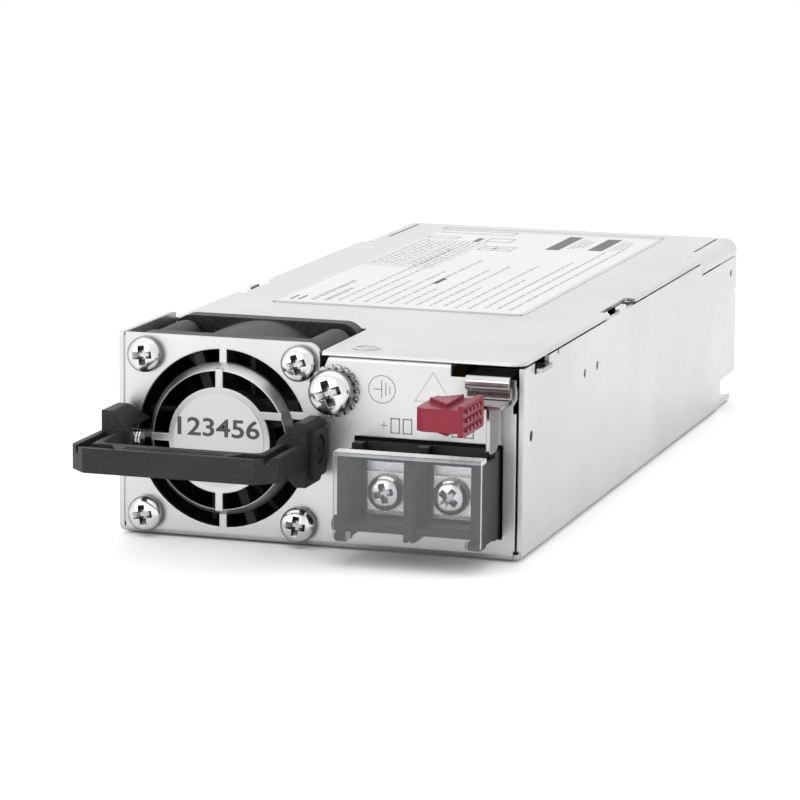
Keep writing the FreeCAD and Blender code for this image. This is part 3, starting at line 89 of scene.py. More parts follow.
STAMP_X = 49.2
STAMP_Y = 6.6


def at(x, y, z):
    return Vector(((x - HALF_WIDTH) / 1000, (y - HALF_LENGTH) / 1000, z / 1000))


# Materials


def new_material(name):
    material = bpy.data.materials.new(name)
    material.use_nodes = True
    tree = material.node_tree
    shader = tree.nodes["Principled BSDF"]
    return material, tree, shader


def noise(tree, scale, detail=3.0):
    """A noise texture in the object's own coordinates. Scale is in waves per metre."""
    place = tree.nodes.new("ShaderNodeTexCoord")
    texture = tree.nodes.new("ShaderNodeTexNoise")
    texture.inputs["Scale"].default_value = scale
    texture.inputs["Detail"].default_value = detail
    tree.links.new(place.outputs["Object"], texture.inputs["Vector"])
    return texture.outputs["Fac"]


def spread(tree, value, low, high):
    """Maps a noise value from its usual 0.3 to 0.7 onto low to high."""
    step = tree.nodes.new("ShaderNodeMapRange")
    step.inputs["From Min"].default_value = 0.3
    step.inputs["From Max"].default_value = 0.7
    step.inputs["To Min"].default_value = low
    step.inputs["To Max"].default_value = high
    tree.links.new(value, step.inputs["Value"])
    return step.outputs["Result"]


def mixed(tree, factor, first, second):
    """A colour between the first and the second one."""
    mix = tree.nodes.new("ShaderNodeMix")
    mix.data_type = "RGBA"
    mix.inputs["A"].default_value = (*first, 1)
    mix.inputs["B"].default_value = (*second, 1)
    tree.links.new(factor, mix.inputs["Factor"])
    return mix.outputs["Result"]


def scaled(tree, tone, amount):
    """The tone times the amount."""
    step = tree.nodes.new("ShaderNodeVectorMath")
    step.operation = "SCALE"
    tree.links.new(tone, step.inputs[0])
    tree.links.new(amount, step.inputs["Scale"])
    return step.outputs["Vector"]


def surface(
    name,
    colour,
    rough,
    metal=0.0,
    mottle=0.06,
    cloud=60,
    grain=2500,
    bump=0.0,
    edge=0.0002,
    specular=0.5,
    coat=0.0,
    painted_dark_reflection=0.0,
    painted_recess_shade=0.0,
    speckle=0.0,
):
    """A solid finish: colour and gloss vary softly, with a fine grain and softened edges.

    cloud and grain are waves per metre; bump and edge are in metres. rim paints a dark reflection
    onto surfaces seen at a low angle, cavity paints shade into recesses, speckle varies the tone
    from grain to grain.
    """
    material, tree, shader = new_material(name)
    clouds = spread(tree, noise(tree, cloud), 0, 1)
    dark = tuple(max(0.0, c * (1 - mottle)) for c in colour)
    light = tuple(min(1.0, c * (1 + mottle) + 0.002) for c in colour)
    tone = mixed(tree, clouds, dark, light)
    grains = noise(tree, grain, detail=2)
    if speckle:
        tone = scaled(tree, tone, spread(tree, grains, 1 - speckle, 1 + 2 * speckle))
    # Painted dark reflection: faces seen at a low angle get a darker base colour.
    if painted_dark_reflection:
        facing = tree.nodes.new("ShaderNodeLayerWeight")
        facing.inputs["Blend"].default_value = 0.5
        fall = tree.nodes.new("ShaderNodeMapRange")
        fall.interpolation_type = "SMOOTHSTEP"
        fall.inputs["From Min"].default_value = 0.15
        fall.inputs["From Max"].default_value = 0.8
        fall.inputs["To Min"].default_value = 1.0
        fall.inputs["To Max"].default_value = 1 - painted_dark_reflection
        tree.links.new(facing.outputs["Facing"], fall.inputs["Value"])
        tone = scaled(tree, tone, fall.outputs["Result"])
    # Painted shade: ambient occlusion darkens the base colour in recesses and where parts meet.
    if painted_recess_shade:
        shade = tree.nodes.new("ShaderNodeAmbientOcclusion")
        shade.samples = 6
        shade.inputs["Distance"].default_value = 0.0022
        depth = tree.nodes.new("ShaderNodeMapRange")
        depth.inputs["From Min"].default_value = 0.25
        depth.inputs["From Max"].default_value = 0.95
        depth.inputs["To Min"].default_value = 1 - painted_recess_shade
        depth.inputs["To Max"].default_value = 1.0
        tree.links.new(shade.outputs["AO"], depth.inputs["Value"])
        tone = scaled(tree, tone, depth.outputs["Result"])
    tree.links.new(tone, shader.inputs["Base Color"])
    tree.links.new(spread(tree, grains, rough * 0.85, min(1, rough * 1.15)), shader.inputs["Roughness"])
    shader.inputs["Metallic"].default_value = metal
    shader.inputs["Specular IOR Level"].default_value = specular
    shader.inputs["Coat Weight"].default_value = coat
    normal = None
    if edge:
        bevel = tree.nodes.new("ShaderNodeBevel")
        bevel.samples = 4
        bevel.inputs["Radius"].default_value = edge
        normal = bevel.outputs["Normal"]
    if bump:
        relief = tree.nodes.new("ShaderNodeBump")
        relief.inputs["Strength"].default_value = 1.0
        relief.inputs["Distance"].default_value = bump
        tree.links.new(grains, relief.inputs["Height"])
        if normal:
            tree.links.new(normal, relief.inputs["Normal"])
        normal = relief.outputs["Normal"]
    if normal:
        tree.links.new(normal, shader.inputs["Normal"])
    return material


def clear_surface(name, tint, haze, haze_colour):
    """Clear moulding: mostly see-through, with a weak milky haze and bright reflections."""
    material, tree, shader = new_material(name)
    output = tree.nodes["Material Output"]
    shader.inputs["Roughness"].default_value = 0.12
    shader.inputs["Base Color"].default_value = (*haze_colour, 1)
    clear = tree.nodes.new("ShaderNodeBsdfTransparent")
    clear.inputs["Color"].default_value = (*tint, 1)
    fresnel = tree.nodes.new("ShaderNodeLayerWeight")
    fresnel.inputs["Blend"].default_value = 0.25
    amount = tree.nodes.new("ShaderNodeMapRange")
    amount.inputs["To Min"].default_value = haze
    amount.inputs["To Max"].default_value = min(1.0, haze + 0.45)
    mix = tree.nodes.new("ShaderNodeMixShader")
    tree.links.new(fresnel.outputs["Facing"], amount.inputs["Value"])
    tree.links.new(amount.outputs["Result"], mix.inputs["Fac"])
    tree.links.new(clear.outputs["BSDF"], mix.inputs[1])
    tree.links.new(shader.outputs["BSDF"], mix.inputs[2])
    tree.links.new(mix.outputs["Shader"], output.inputs["Surface"])
    return material


def ink(name, colour, mottle):
    return surface(name, colour, 0.5, mottle=mottle, cloud=200, edge=0)


FINISHES = {
    "zinc_sheet": surface(
        "zinc_sheet", (0.5, 0.5, 0.496), 0.33, metal=1.0, cloud=40, grain=1800, bump=0.000004, edge=0.0003
    ),
    "black_plastic": surface(
        "black_plastic",
        (0.008, 0.008, 0.0085),
        0.5,
        mottle=0.25,
        cloud=120,
        grain=2600,
        bump=0.00016,
        edge=0.0005,
        specular=0.27,
        speckle=0.7,
    ),
    "screw_steel": surface(
        "screw_steel",
        (0.64, 0.63, 0.62),
        0.17,
        metal=1.0,
        mottle=0.15,
        cloud=260,
        grain=1500,
        bump=0.00003,
        edge=0.00015,
        # Painted dark reflection on faces seen at a low angle.
        painted_dark_reflection=0.8,
        # Painted shade in recesses and where parts meet.
        painted_recess_shade=0.45,
    ),
    "dark_iron": surface(
        "dark_iron", (0.05, 0.05, 0.055), 0.6, mottle=0.2, cloud=400, grain=4000, bump=0.00003
    ),
    "board_green": surface(
        "board_green", (0.02, 0.12, 0.05), 0.35, mottle=0.2, cloud=200, grain=1500, coat=0.3
    ),
    "block_plastic": surface(
        "block_plastic",
        (0.008, 0.008, 0.0085),
        0.42,
        mottle=0.15,
        cloud=150,
        grain=3000,
        bump=0.00002,
        edge=0.0003,
        specular=0.26,
    ),
    "tin_plate": surface(
        "tin_plate",
        (0.62, 0.61, 0.60),
        0.25,
        metal=1.0,
        mottle=0.1,
        cloud=200,
        edge=0.00015,
        # Painted dark reflection on faces seen at a low angle.
        painted_dark_reflection=0.4,
        # Painted shade in recesses and where parts meet.
        painted_recess_shade=0.5,
    ),
    "spring_steel": surface(
        "spring_steel",
        (0.44, 0.44, 0.436),
        0.2,
        metal=1.0,
        mottle=0.08,
        cloud=80,
        grain=2000,
        edge=0.0003,
        # Painted dark reflection on faces seen at a low angle.
        painted_dark_reflection=0.5,
        # Painted shade in recesses and where parts meet.
        painted_recess_shade=0.4,
    ),
    "grip_plastic": surface(
        "grip_plastic",
        (0.185, 0.006, 0.022),
        0.4,
        mottle=0.1,
        cloud=150,
        bump=0.00002,
        edge=0.0003,
        specular=0.3,
    ),
    "film": surface("film", (0.03, 0.03, 0.03), 0.4),
    "gold_contact": surface("gold_contact", (0.83, 0.58, 0.22), 0.25, metal=1.0),
    "ceramic": surface("ceramic", (0.75, 0.72, 0.66), 0.5),
    "capacitor_sleeve": surface("capacitor_sleeve", (0.02, 0.03, 0.07), 0.3),
    "winding_tape": surface("winding_tape", (0.6, 0.42, 0.05), 0.4),
    "aluminium_black": surface("aluminium_black", (0.3, 0.3, 0.31), 0.4, metal=1.0),
    "lead_blue": surface("lead_blue", (0.0, 0.09, 0.42), 0.35),
    "lead_red": surface("lead_red", (0.35, 0.006, 0.012), 0.35),
    "lead_black": surface("lead_black", (0.015, 0.015, 0.015), 0.4),
    "connector_white": surface("connector_white", (0.75, 0.73, 0.67), 0.4),
    "label_paper": surface(
        "label_paper", (0.55, 0.55, 0.547), 0.42, mottle=0.02, cloud=30, edge=0, specular=0.3
    ),
    "clear_plastic": clear_surface("clear_plastic", (0.93, 0.94, 0.95), 0.075, (0.5, 0.51, 0.52)),
}
INK = ink("print_ink", (0.045, 0.045, 0.05), 0.2)
INK_SOFT = ink("print_ink_soft", (0.19, 0.19, 0.2), 0.15)
INK_PALE = ink("print_ink_pale", (0.27, 0.27, 0.275), 0.15)
INK_FAINT = ink("print_ink_faint", (0.36, 0.36, 0.36), 0.1)
CLEAR_EDGE = clear_surface("clear_edge", (0.95, 0.95, 0.95), 0.6, (0.65, 0.66, 0.67))

for part in frame["record"]["subparts"]:
    mesh = nodes[part["node"]].data
    mesh.materials.clear()
    mesh.materials.append(FINISHES[part["material_slot"]])


# Mesh helpers


def add_object(name, mesh, slot_name, body="casing", replaced=(), material=None):
    """A visible piece with one finish, riding a body and taking the place of CAD nodes."""
    obj = bpy.data.objects.new(name, mesh)
    bpy.context.scene.collection.objects.link(obj)
    mesh.materials.clear()
    mesh.materials.append(material or FINISHES[slot_name])
    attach(obj, body)
    if replaced:
        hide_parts(*replaced)
    return obj


def lathe(profile, steps=48):
    """A closed mesh turned about the local Z axis from (radius, height) points."""
    work = bmesh.new()
    rings = []
    for radius, height in profile:
        if radius < 1e-9:
            rings.append([work.verts.new((0, 0, height))])
            continue
        ring = []
        for k in range(steps):
            angle = 2 * math.pi * k / steps
            ring.append(work.verts.new((radius * math.cos(angle), radius * math.sin(angle), height)))
        rings.append(ring)
    for low, high in zip(rings, rings[1:]):
        for k in range(steps):
            n = (k + 1) % steps
            if len(low) == 1 and len(high) == 1:
                continue
            if len(low) == 1:
                work.faces.new((low[0], high[n], high[k]))
            elif len(high) == 1:
                work.faces.new((low[k], low[n], high[0]))
            else:
                work.faces.new((low[k], low[n], high[n], high[k]))
    bmesh.ops.recalc_face_normals(work, faces=work.faces)
    return work


def hull(points):
    """The convex mesh round the points."""
    work = bmesh.new()
    for point in points:
        work.verts.new(point)
    bmesh.ops.convex_hull(work, input=work.verts)
    bmesh.ops.recalc_face_normals(work, faces=work.faces)
    return work


def to_mesh(work, name):
    """Turns the bmesh into a mesh and frees it."""
    mesh = bpy.data.meshes.new(name)
    work.to_mesh(mesh)
    work.free()
    return mesh


def carve(mesh, cutters, name):
    """Takes each cutter's bmesh out of the mesh."""
    base = bpy.data.objects.new(name + "_base", mesh)
    bpy.context.scene.collection.objects.link(base)
    tools = []
    for i, cutter in enumerate(cutters):
        tool = bpy.data.objects.new("%s_tool%d" % (name, i), to_mesh(cutter, name + "_tool"))
        bpy.context.scene.collection.objects.link(tool)
        tools.append(tool)
        step = base.modifiers.new("Cut", "BOOLEAN")
        step.operation = "DIFFERENCE"
        step.solver = "EXACT"
        step.object = tool
    bpy.context.view_layer.update()
    graph = bpy.context.evaluated_depsgraph_get()
    done = bpy.data.meshes.new_from_object(base.evaluated_get(graph))
    for thing in tools + [base]:
        bpy.data.objects.remove(thing)
    return done


def smooth_by_angle(mesh):
    """Smooth shading, with sharp edges where faces meet at more than 35 degrees."""
    mesh.shade_smooth()
    work = bmesh.new()
    work.from_mesh(mesh)
    limit = math.radians(35)
    for edge in work.edges:
        if len(edge.link_faces) == 2 and edge.calc_face_angle(0) > limit:
            edge.smooth = False
    work.to_mesh(mesh)
    work.free()


def cross_cutters(top, depth, arm, width, turn):
    """The two tapering bars of a cross recess, open at height top."""
    overshoot = 0.0004
    mouth = (top + overshoot, arm * 1.12, width * 0.62)
    bottom = (top - depth, arm * 0.42, width * 0.3)
    bars = []
    for quarter in (0, 1):
        angle = turn + quarter * math.pi / 2
        points = []
        for height, reach, half in (mouth, bottom):
            for sx in (-1, 1):
                for sy in (-1, 1):
                    x = sx * reach
                    y = sy * half
                    points.append(
                        (
                            x * math.cos(angle) - y * math.sin(angle),
                            x * math.sin(angle) + y * math.cos(angle),
                            height,
                        )
                    )
        bars.append(hull(points))
    return bars


def thread(radius, depth, pitch, length):
    """A threaded shank along local Z from 0 downwards, as a closed bmesh."""
    steps = 24
    rows_per_turn = 6
    rows = int(length / pitch * rows_per_turn)
    work = bmesh.new()
    rings = []
    for row in range(rows + 1):
        height = -length * row / rows
        ring = []
        for k in range(steps):
            turn = k / steps
            phase = (height / pitch + turn) % 1.0
            ridge = 1 - abs(2 * phase - 1)
            r = radius - depth * (1 - ridge)
            angle = 2 * math.pi * turn
            ring.append(work.verts.new((r * math.cos(angle), r * math.sin(angle), height)))
        rings.append(ring)
    for low, high in zip(rings, rings[1:]):
        for k in range(steps):
            n = (k + 1) % steps
            work.faces.new((low[k], low[n], high[n], high[k]))
    work.faces.new(rings[0])
    work.faces.new(rings[-1])
    bmesh.ops.recalc_face_normals(work, faces=work.faces)
    return work


def screw(head_radius, head_height, shank, length, pitch, arm, width, recess, turn):
    """A pan-head screw with its seat at z = 0 and its head upwards."""
    r = head_radius
    h = head_height
    profile = [(0, 0), (r * 0.97, 0), (r, h * 0.06), (r, h * 0.42)]
    for k in range(1, 7):
        angle = math.pi / 2 * k / 7
        profile.append((r * (0.62 + 0.38 * math.cos(angle)), h * (0.42 + 0.5 * math.sin(angle))))
    profile += [(r * 0.5, h * 0.97), (r * 0.25, h), (0, h)]
    head = to_mesh(lathe(profile, 56), "head")
    head = carve(head, cross_cutters(h, recess, arm, width, turn), "head")
    work = bmesh.new()
    work.from_mesh(head)
    bpy.data.meshes.remove(head)
    tail = to_mesh(thread(shank, shank * 0.12, pitch, length), "tail")
    work.from_mesh(tail)
    bpy.data.meshes.remove(tail)
    return work


def placed(work, centre, axis):
    """Turns local +Z onto the axis and moves the work to the centre."""
    turn = Vector((0, 0, 1)).rotation_difference(Vector(axis)).to_matrix().to_4x4()
    work.transform(Matrix.Translation(centre) @ turn)
    return work


def merged(works, name):
    """One softly shaded mesh from several bmeshes."""
    whole = bmesh.new()
    for work in works:
        piece = to_mesh(work, "piece")
        whole.from_mesh(piece)
        bpy.data.meshes.remove(piece)
    mesh = to_mesh(whole, name)
    smooth_by_angle(mesh)
    return mesh


# Screws and washer

FAN_SCREW = {
    "head_radius": 0.00355,
    "head_height": 0.0029,
    "shank": 0.00138,
    "length": 0.0128,
    "pitch": 0.0009,
    "arm": 0.0022,
    "width": 0.0013,
    "recess": 0.0015,
}
GROUND_SCREW = {
    "head_radius": 0.0045,
    "head_height": 0.0033,
    "shank": 0.00198,
    "length": 0.0062,
    "pitch": 0.0007,
    "arm": 0.0028,
    "width": 0.0015,
    "recess": 0.0019,
}
TERMINAL_SCREW = {
    "head_radius": 0.0035,
    "head_height": 0.0025,
    "shank": 0.0019,
    "length": 0.0062,
    "pitch": 0.0007,
    "arm": 0.0022,
    "width": 0.0012,
    "recess": 0.0014,
}


def toothed_washer(inner, outer, thickness, count, twist):
    """An external-tooth washer: each tooth is twisted out of the ring's plane."""
    root = outer * 0.9
    tooth_start = root * 0.98
    tip_share = 0.75
    half = math.pi * outer / count * 0.62
    works = [lathe([(inner, 0), (root, 0), (root, thickness), (inner, thickness), (inner, 0)])]
    for k in range(count):
        spin = Matrix.Rotation(2 * math.pi * k / count, 4, "Z")
        lean = Matrix.Rotation(twist, 4, "X")
        tooth = hull(
            [
                (x, y * share, z)
                for x, share in ((tooth_start, 1), (outer, tip_share))
                for y in (-half, half)
                for z in (-thickness / 2, thickness / 2)
            ]
        )
        tooth.transform(spin @ Matrix.Translation((0, 0, thickness / 2)) @ lean)
        works.append(tooth)
    return works


def add_fan_screws():
    turns = {(-1, -1): 0.15, (-1, 1): 0.1, (1, -1): -0.1, (1, 1): 0.3}
    heads = []
    for (side, level), turn in turns.items():
        seat = at(FAN_X + FAN_SCREW_REACH * side, 0, FAN_Z + FAN_SCREW_REACH * level)
        heads.append(placed(screw(**FAN_SCREW, turn=turn), seat, FORWARD))
    add_object("fan_screw_heads", merged(heads, "fan_screw_heads"), "screw_steel", replaced=["fan_screws"])


def add_ground_screw():
    seat = at(GROUND_X, GROUND_SEAT, GROUND_Z)
    mesh = merged([placed(screw(**GROUND_SCREW, turn=0.35), seat, FORWARD)], "ground_screw_detail")
    add_object("ground_screw_detail", mesh, "screw_steel", replaced=["ground_screw"])


def add_terminal_screws():
    heads = []
    for x, turn in zip(TERMINAL_SCREW_PLACES, (0.25, 0.95)):
        seat = at(x, TERMINAL_SCREW_SEAT, TERMINAL_SCREW_Z)
        heads.append(placed(screw(**TERMINAL_SCREW, turn=turn), seat, FORWARD))
    mesh = merged(heads, "terminal_screw_heads")
    add_object("terminal_screw_heads", mesh, "screw_steel", replaced=["terminal_screws"])


def add_ground_washer():
    works = toothed_washer(inner=0.0023, outer=0.00515, thickness=0.0006, count=18, twist=0.45)
    seated = [placed(work, at(GROUND_X, 0, GROUND_Z), FORWARD) for work in works]
    mesh = merged(seated, "ground_washer_detail")
    add_object("ground_washer_detail", mesh, "screw_steel", replaced=["ground_washer"])


# Print on the label and the marks on the front panel


def flat_pieces(name, quads, slot_name, material):
    """Thin printed fields: each quad is four corners in order."""
    mesh = bpy.data.meshes.new(name)
    points = []
    faces = []
    for quad in quads:
        first = len(points)
        points += [tuple(corner) for corner in quad]
        faces.append(tuple(range(first, first + len(quad))))
    mesh.from_pydata(points, [], faces)
    add_object(name, mesh, slot_name, material=material)


def top_field(x0, x1, y0, y1):
    """A printed field that lies on the label."""
    z = LABEL_TOP + PRINT_LIFT
    return [at(x0, y0, z), at(x1, y0, z), at(x1, y1, z), at(x0, y1, z)]


def top_frame(x0, x1, y0, y1, width):
    """A printed frame. Its front and rear bars are twice as thick as its side bars."""
    return [
        top_field(x0, x1, y0, y0 + width * 2),
        top_field(x0, x1, y1 - width * 2, y1),
        top_field(x0, x0 + width, y0, y1),
        top_field(x1 - width, x1, y0, y1),
    ]


def text_line(x, thick, y, end, shortest, longest):
    """A line of print as a row of small bars running towards the rear."""
    bars = []
    while y < end:
        word = random.uniform(shortest, longest)
        bars.append(top_field(x, x + thick, y, min(y + word, end)))
        y += word + random.uniform(0.6, 1.3)
    return bars


def front_ring(x, z, inner, outer, steps):
    """A printed ring on the front panel."""
    quads = []
    for k in range(steps):
        a = 2 * math.pi * k / steps
        b = 2 * math.pi * (k + 1) / steps
        ends = ((inner, a), (outer, a), (outer, b), (inner, b))
        quads.append([at(x + r * math.cos(t), -PRINT_LIFT, z + r * math.sin(t)) for r, t in ends])
    return quads


def front_line(x0, z0, x1, z1, width=0.17):
    """A printed line on the front panel, half its width longer at each end."""
    along = Vector((x1 - x0, z1 - z0)).normalized() * width / 2
    side = Vector((-along.y, along.x))
    ends = ((x0, z0, -1, 1), (x0, z0, -1, -1), (x1, z1, 1, -1), (x1, z1, 1, 1))
    return [
        at(x + along.x * way + side.x * turn, -PRINT_LIFT, z + along.y * way + side.y * turn)
        for x, z, way, turn in ends
    ]


def front_box(x0, x1, z0, z1, width):
    """An open box printed on the front panel."""
    corners = ((x0, z0), (x1, z0), (x1, z1), (x0, z1))
    return [front_line(*a, *b, width) for a, b in zip(corners, corners[1:] + corners[:1])]


def add_label_print():
    dark = [
        top_field(45.4, 48.6, 152, 175),
        top_field(55.0, 58.4, 154, 174),
        top_field(36.5, 37.6, 91.6, 99.9),
        top_field(25.7, 27.1, 159, 165),
        top_field(14.6, 15.1, 60, 66),
        top_field(16.4, 16.9, 60, 66),
    ]
    flat_pieces("label_fields", dark, "label_paper", INK)

    faint = top_frame(12.3, 66.5, 55.8, 182.6, 0.22)
    faint += top_frame(13.6, 21.2, 114.5, 158.5, 0.16)
    faint += top_frame(21.8, 29.4, 114.5, 158.5, 0.16)
    flat_pieces("label_frames", faint, "label_paper", INK_FAINT)

    lines = []
    # Main rows of print, the first two bolder
    row_lengths = (30, 20, 86, 58, 34, 50, 70, 26, 56, 62, 30, 66, 44, 74, 92, 98)
    first_row = 19.0
    row_pitch = 2.9
    row_start = 60
    for row, length in enumerate(row_lengths):
        thick = 0.95 if row < 2 else 0.5
        x = first_row + row_pitch * row
        lines += text_line(x, thick, row_start + random.uniform(0, 3), row_start + length, 1.0, 5.0)
    # Small print in the two framed tables
    for row in range(5):
        for column in (14.3, 22.5):
            lines += text_line(column + row * 1.35, 0.5, 116 + random.uniform(0, 2), 157, 1.5, 4.5)
    # Fine print beside the two dark fields
    for row in range(4):
        for x in (49.9, 59.6):
            lines += text_line(x + row * 0.9, 0.35, 155 + row, 172 - row, 1.0, 3.0)
    # Open frames in place of the marks
    frames = ((13.5, 21.0, 162, 166), (28.5, 34.5, 160, 166), (30.5, 38.5, 146, 153), (14, 32, 172, 177))
    for frame_place in frames:
        lines += top_frame(*frame_place, 0.3)
    lines.append(top_field(33.8, 34.3, 147, 152))
    lines.append(top_field(31.5, 37.5, 149, 150))
    flat_pieces("label_lines", lines, "label_paper", INK_PALE)


def add_panel_marks():
    """Round earth mark, plus mark, two open boxes for each pole and a plain triangle."""
    stem_end = 54.45
    marks = front_ring(EARTH_X, EARTH_Z, 2.62, 2.78, 56)
    for x, reach in ((stem_end, 1.65), (55.3, 1.2), (56.1, 0.75)):
        marks.append(front_line(x, EARTH_Z - reach, x, EARTH_Z + reach))
    marks.append(front_line(52.8, EARTH_Z, stem_end, EARTH_Z))

    plus_x = 54.95
    plus_z = 25.0
    arm = 0.65
    marks.append(front_line(plus_x - arm, plus_z, plus_x + arm, plus_z))
    marks.append(front_line(plus_x, plus_z - arm, plus_x, plus_z + arm))
    for x in (56.4, 58.9, 68.8, 71.3):
        marks += front_box(x, x + 1.7, 23.6, 26.4, 0.24)
    flat_pieces("panel_marks", marks, "zinc_sheet", INK_SOFT)

    left = (61.2, 30.2)
    peak = (64.84, 35.9)
    right = (68.5, 30.2)
    triangle = [front_line(*a, *b, 0.14) for a, b in ((left, peak), (peak, right), (left, right))]
    flat_pieces("panel_triangle", triangle, "zinc_sheet", INK_FAINT)


def number_plate(digits, x0, x1, z0, z1, y):
    """Plain figures as flat ink in front of the fan disc, fitted into a field."""
    curve = bpy.data.curves.new("figures", "FONT")
    curve.body = digits
    curve.offset = 0.018
    holder = bpy.data.objects.new("figures", curve)
    bpy.context.scene.collection.objects.link(holder)
    bpy.context.view_layer.update()
    graph = bpy.context.evaluated_depsgraph_get()
    mesh = bpy.data.meshes.new_from_object(holder.evaluated_get(graph))
    bpy.data.objects.remove(holder)
    xs = [v.co.x for v in mesh.vertices]
    ys = [v.co.y for v in mesh.vertices]
    for v in mesh.vertices:
        across = (v.co.x - min(xs)) / (max(xs) - min(xs))
        height = (v.co.y - min(ys)) / (max(ys) - min(ys))
        v.co = at(x0 + (x1 - x0) * across, y, z0 + (z1 - z0) * height)
    return mesh


def add_disc_figures():
    disc = nodes["guard_label"]
    disc_front = min((disc.matrix_world @ v.co).y for v in disc.data.vertices) * 1000 + HALF_LENGTH
    figures = number_plate("123456", 13.2, 30.3, 20.9, 24.6, disc_front - PRINT_LIFT)
    add_object("disc_figures", figures, "label_paper", material=INK)


# Terminal lid, cover stamp, lead channel and front fold


def rounded_sheet(x0, x1, z0, z1, y0, y1, radius):
    """An upright sheet whose two lower corners are round."""
    outline = [(x0, z1), (x1, z1)]
    for cx, start in ((x1 - radius, 0), (x0 + radius, -90)):
        for k in range(7):
            angle = math.radians(start - 15 * k)
            outline.append((cx + radius * math.cos(angle), z0 + radius + radius * math.sin(angle)))
    work = bmesh.new()
    rings = [[work.verts.new(at(x, y, z)) for x, z in outline] for y in (y0, y1)]
    count = len(outline)
    for k in range(count):
        n = (k + 1) % count
        work.faces.new((rings[0][k], rings[0][n], rings[1][n], rings[1][k]))
    work.faces.new(rings[0])
    work.faces.new(rings[1])
    bmesh.ops.recalc_face_normals(work, faces=work.faces)
    return work


def box_work(x0, x1, y0, y1, z0, z1):
    return hull([at(x, y, z) for x in (x0, x1) for y in (y0, y1) for z in (z0, z1)])


def add_lid():
    """Clear sheet over the bays, with a lip on top, two low pins and bright edges."""
    pin_radius = 0.0005
    pin_half = 0.0012
    joined = LID_BACK + 0.01
    lid = [rounded_sheet(LID_LEFT, LID_RIGHT, LID_LOW, LID_HIGH, LID_FRONT, LID_BACK, 0.9)]
    lid.append(box_work(LID_LEFT, LID_RIGHT, joined, LIP_BACK, LIP_LOW, LID_HIGH))
    for x, inward in LID_PINS:
        profile = [(0, -pin_half), (pin_radius, -pin_half), (pin_radius, pin_half), (0, pin_half)]
        lid.append(placed(lathe(profile, 20), at(x, LID_PIN_Y, LID_PIN_Z), ACROSS))
        x0, x1 = sorted((x + 0.9 * inward, x + 1.4 * inward))
        lid.append(box_work(x0, x1, joined, LID_PIN_Y + 0.5, LID_PIN_Z - 0.5, LID_PIN_Z + 1.0))
    mesh = merged(lid, "lid_detail")
    lid_object = add_object("lid_detail", mesh, "clear_plastic", "terminal_cover", ["terminal_lid"])
    mesh.materials.append(CLEAR_EDGE)
    for face in lid_object.data.polygons:
        if abs(face.normal.y) < 0.5:
            face.material_index = 1


def add_cover_stamp():
    """Pressed ring near the front of the cover, with a low boss inside it."""
    ring = lathe([(0.0021, 0), (0.0022, 0.00016), (0.0028, 0.00016), (0.0029, 0), (0.0021, 0)], 40)
    boss = lathe([(0.0, 0), (0.0, 0.00014), (0.0009, 0.00012), (0.0011, 0), (0.0, 0)], 24)
    stamps = [placed(work, at(STAMP_X, STAMP_Y, COVER_TOP), UP) for work in (ring, boss)]
    add_object("cover_stamp", merged(stamps, "cover_stamp"), "zinc_sheet")


def add_front_strips():
    """Strut of the fan frame before the leads, and the closed fold at the left front edge."""
    channel = [box_work(25.5, 36.4, 3.3, 3.8, 23.8, 28.0)]
    add_object("lead_channel", merged(channel, "lead_channel"), "black_plastic")
    fold = [box_work(0.95, 1.35, 0.12, 0.6, 2.0, 39.6)]
    add_object("front_fold", merged(fold, "front_fold"), "zinc_sheet")


def add_handle_screws():
    """Threaded ends inside the ears, and low dark heads in the outer pads."""
    top = 0.0012
    profile = [(0, 0), (0.0027, 0), (0.0027, 0.0009), (0.0024, top), (0.0012, top), (0, top)]
    ends = []
    heads = []
    dots = []
    for x, way in HANDLE_SCREW_SEATS:
        seat = at(x, HANDLE_SCREW_Y, HANDLE_SCREW_Z)
        outward = (-way, 0, 0)
        ends.append(placed(thread(0.00146, 0.00022, 0.0006, 0.0049), seat, outward))
        head = to_mesh(lathe(profile), "head")
        head = carve(head, cross_cutters(top, 0.0006, 0.0009, 0.0004, 0.5), "head")
        work = bmesh.new()
        work.from_mesh(head)
        heads.append(placed(work, seat, outward))
        dot = lathe([(0, 0), (0.0008, 0), (0.0008, 0.00064), (0, 0.00064)], 24)
        dots.append(placed(dot, seat, outward))
    mesh = merged(ends + dots, "handle_screw_ends")
    add_object("handle_screw_ends", mesh, "screw_steel", replaced=["handle_screws"])
    mesh = merged(heads, "handle_screw_heads")
    add_object("handle_screw_heads", mesh, "screw_steel", material=FINISHES["black_plastic"])


# Stage, lamps, camera


def build_stage():
    """Pale floor, just under the part."""
    side = 0.55
    corners = [(-side, -side, 0), (side, -side, 0), (side, side, 0), (-side, side, 0)]
    mesh = bpy.data.meshes.new("floor")
    mesh.from_pydata(corners, [], [(0, 1, 2, 3)])
    floor = bpy.data.objects.new("floor", mesh)
    bpy.context.scene.collection.objects.link(floor)
    floor.location = (0, 0.1, -0.0004)
    finish = surface("floor", (0.97, 0.97, 0.97), 0.9, mottle=0.005, cloud=5, grain=200, edge=0, specular=0.1)
    mesh.materials.append(finish)


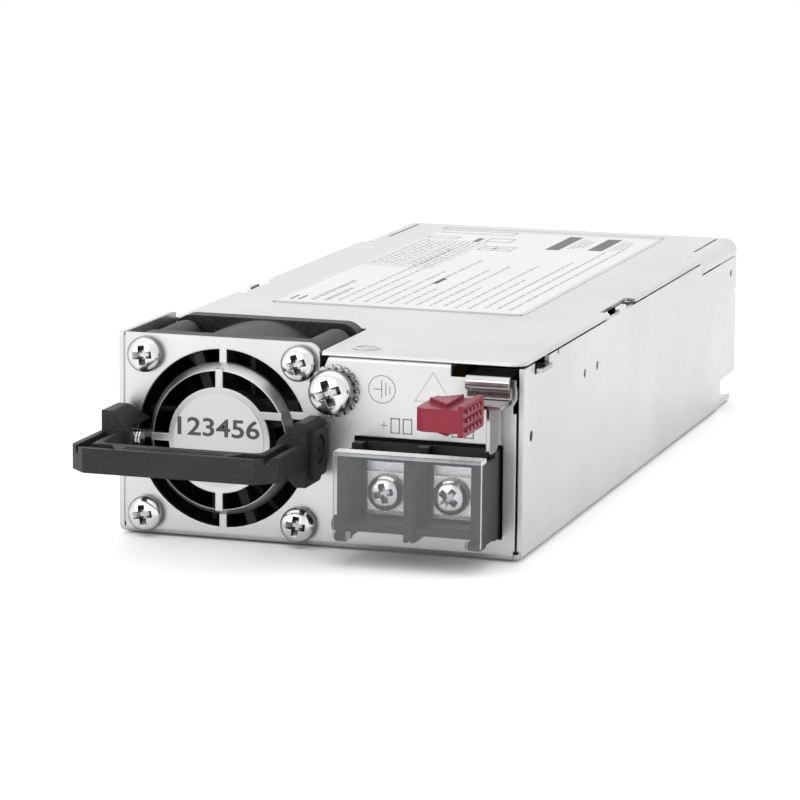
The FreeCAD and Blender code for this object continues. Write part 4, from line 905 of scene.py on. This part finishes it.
def build_world():
    """Even light from all round. The camera sees it as plain white."""
    world = bpy.data.worlds.new("world")
    bpy.context.scene.world = world
    world.use_nodes = True
    tree = world.node_tree
    tree.nodes.clear()
    path = tree.nodes.new("ShaderNodeLightPath")
    seen = tree.nodes.new("ShaderNodeBackground")
    seen.inputs["Color"].default_value = (1, 1, 1, 1)
    seen.inputs["Strength"].default_value = 1.0
    level = tree.nodes.new("ShaderNodeBackground")
    level.inputs["Color"].default_value = (1, 1, 1, 1)
    level.inputs["Strength"].default_value = 1.3
    mix = tree.nodes.new("ShaderNodeMixShader")
    output = tree.nodes.new("ShaderNodeOutputWorld")
    tree.links.new(path.outputs["Is Camera Ray"], mix.inputs["Fac"])
    tree.links.new(level.outputs["Background"], mix.inputs[1])
    tree.links.new(seen.outputs["Background"], mix.inputs[2])
    tree.links.new(mix.outputs["Shader"], output.inputs["Surface"])


def area_lamp(name, place, target, size, power):
    """A rectangular lamp of the given sides in metres and power in watts."""
    light = bpy.data.lights.new(name, "AREA")
    light.shape = "RECTANGLE"
    light.size, light.size_y = size
    light.energy = power
    lamp = bpy.data.objects.new(name, light)
    bpy.context.scene.collection.objects.link(lamp)
    lamp.location = place
    lamp.rotation_euler = (Vector(target) - Vector(place)).to_track_quat("-Z", "Y").to_euler()


def build_camera():
    """The camera fitted to the photo: its place, and the picture's right, up and back directions."""
    data = bpy.data.cameras.new("camera")
    data.sensor_width = 36.0
    data.lens = 166.96
    data.clip_start = 0.01
    camera = bpy.data.objects.new("camera", data)
    bpy.context.scene.collection.objects.link(camera)
    right = Vector((0.953540, 0.301135, 0.008933))
    up = Vector((-0.062150, 0.167610, 0.983892))
    back = Vector((0.294787, -0.938736, 0.178538))
    place = Vector((0.22784, -0.76644, 0.15806))
    turn = Matrix((right, up, back)).transposed().to_4x4()
    camera.matrix_world = Matrix.Translation(place) @ turn
    bpy.context.scene.camera = camera


add_fan_screws()
add_ground_screw()
add_terminal_screws()
add_ground_washer()
add_label_print()
add_panel_marks()
add_disc_figures()
add_lid()
add_cover_stamp()
add_front_strips()
add_handle_screws()
build_stage()
build_world()
area_lamp("top", (-0.1, -0.2, 0.9), (0, 0, 0), (1.2, 1.2), 2.4)
area_lamp("front_left", (-0.45, -1.1, 0.22), (0, -0.09, 0.02), (0.7, 0.5), 2.2)
build_camera()

scene = bpy.context.scene
scene.render.resolution_x = 800
scene.render.resolution_y = 800
scene.view_settings.view_transform = "Standard"
scene.cycles.max_bounces = 12
scene.cycles.transparent_max_bounces = 16
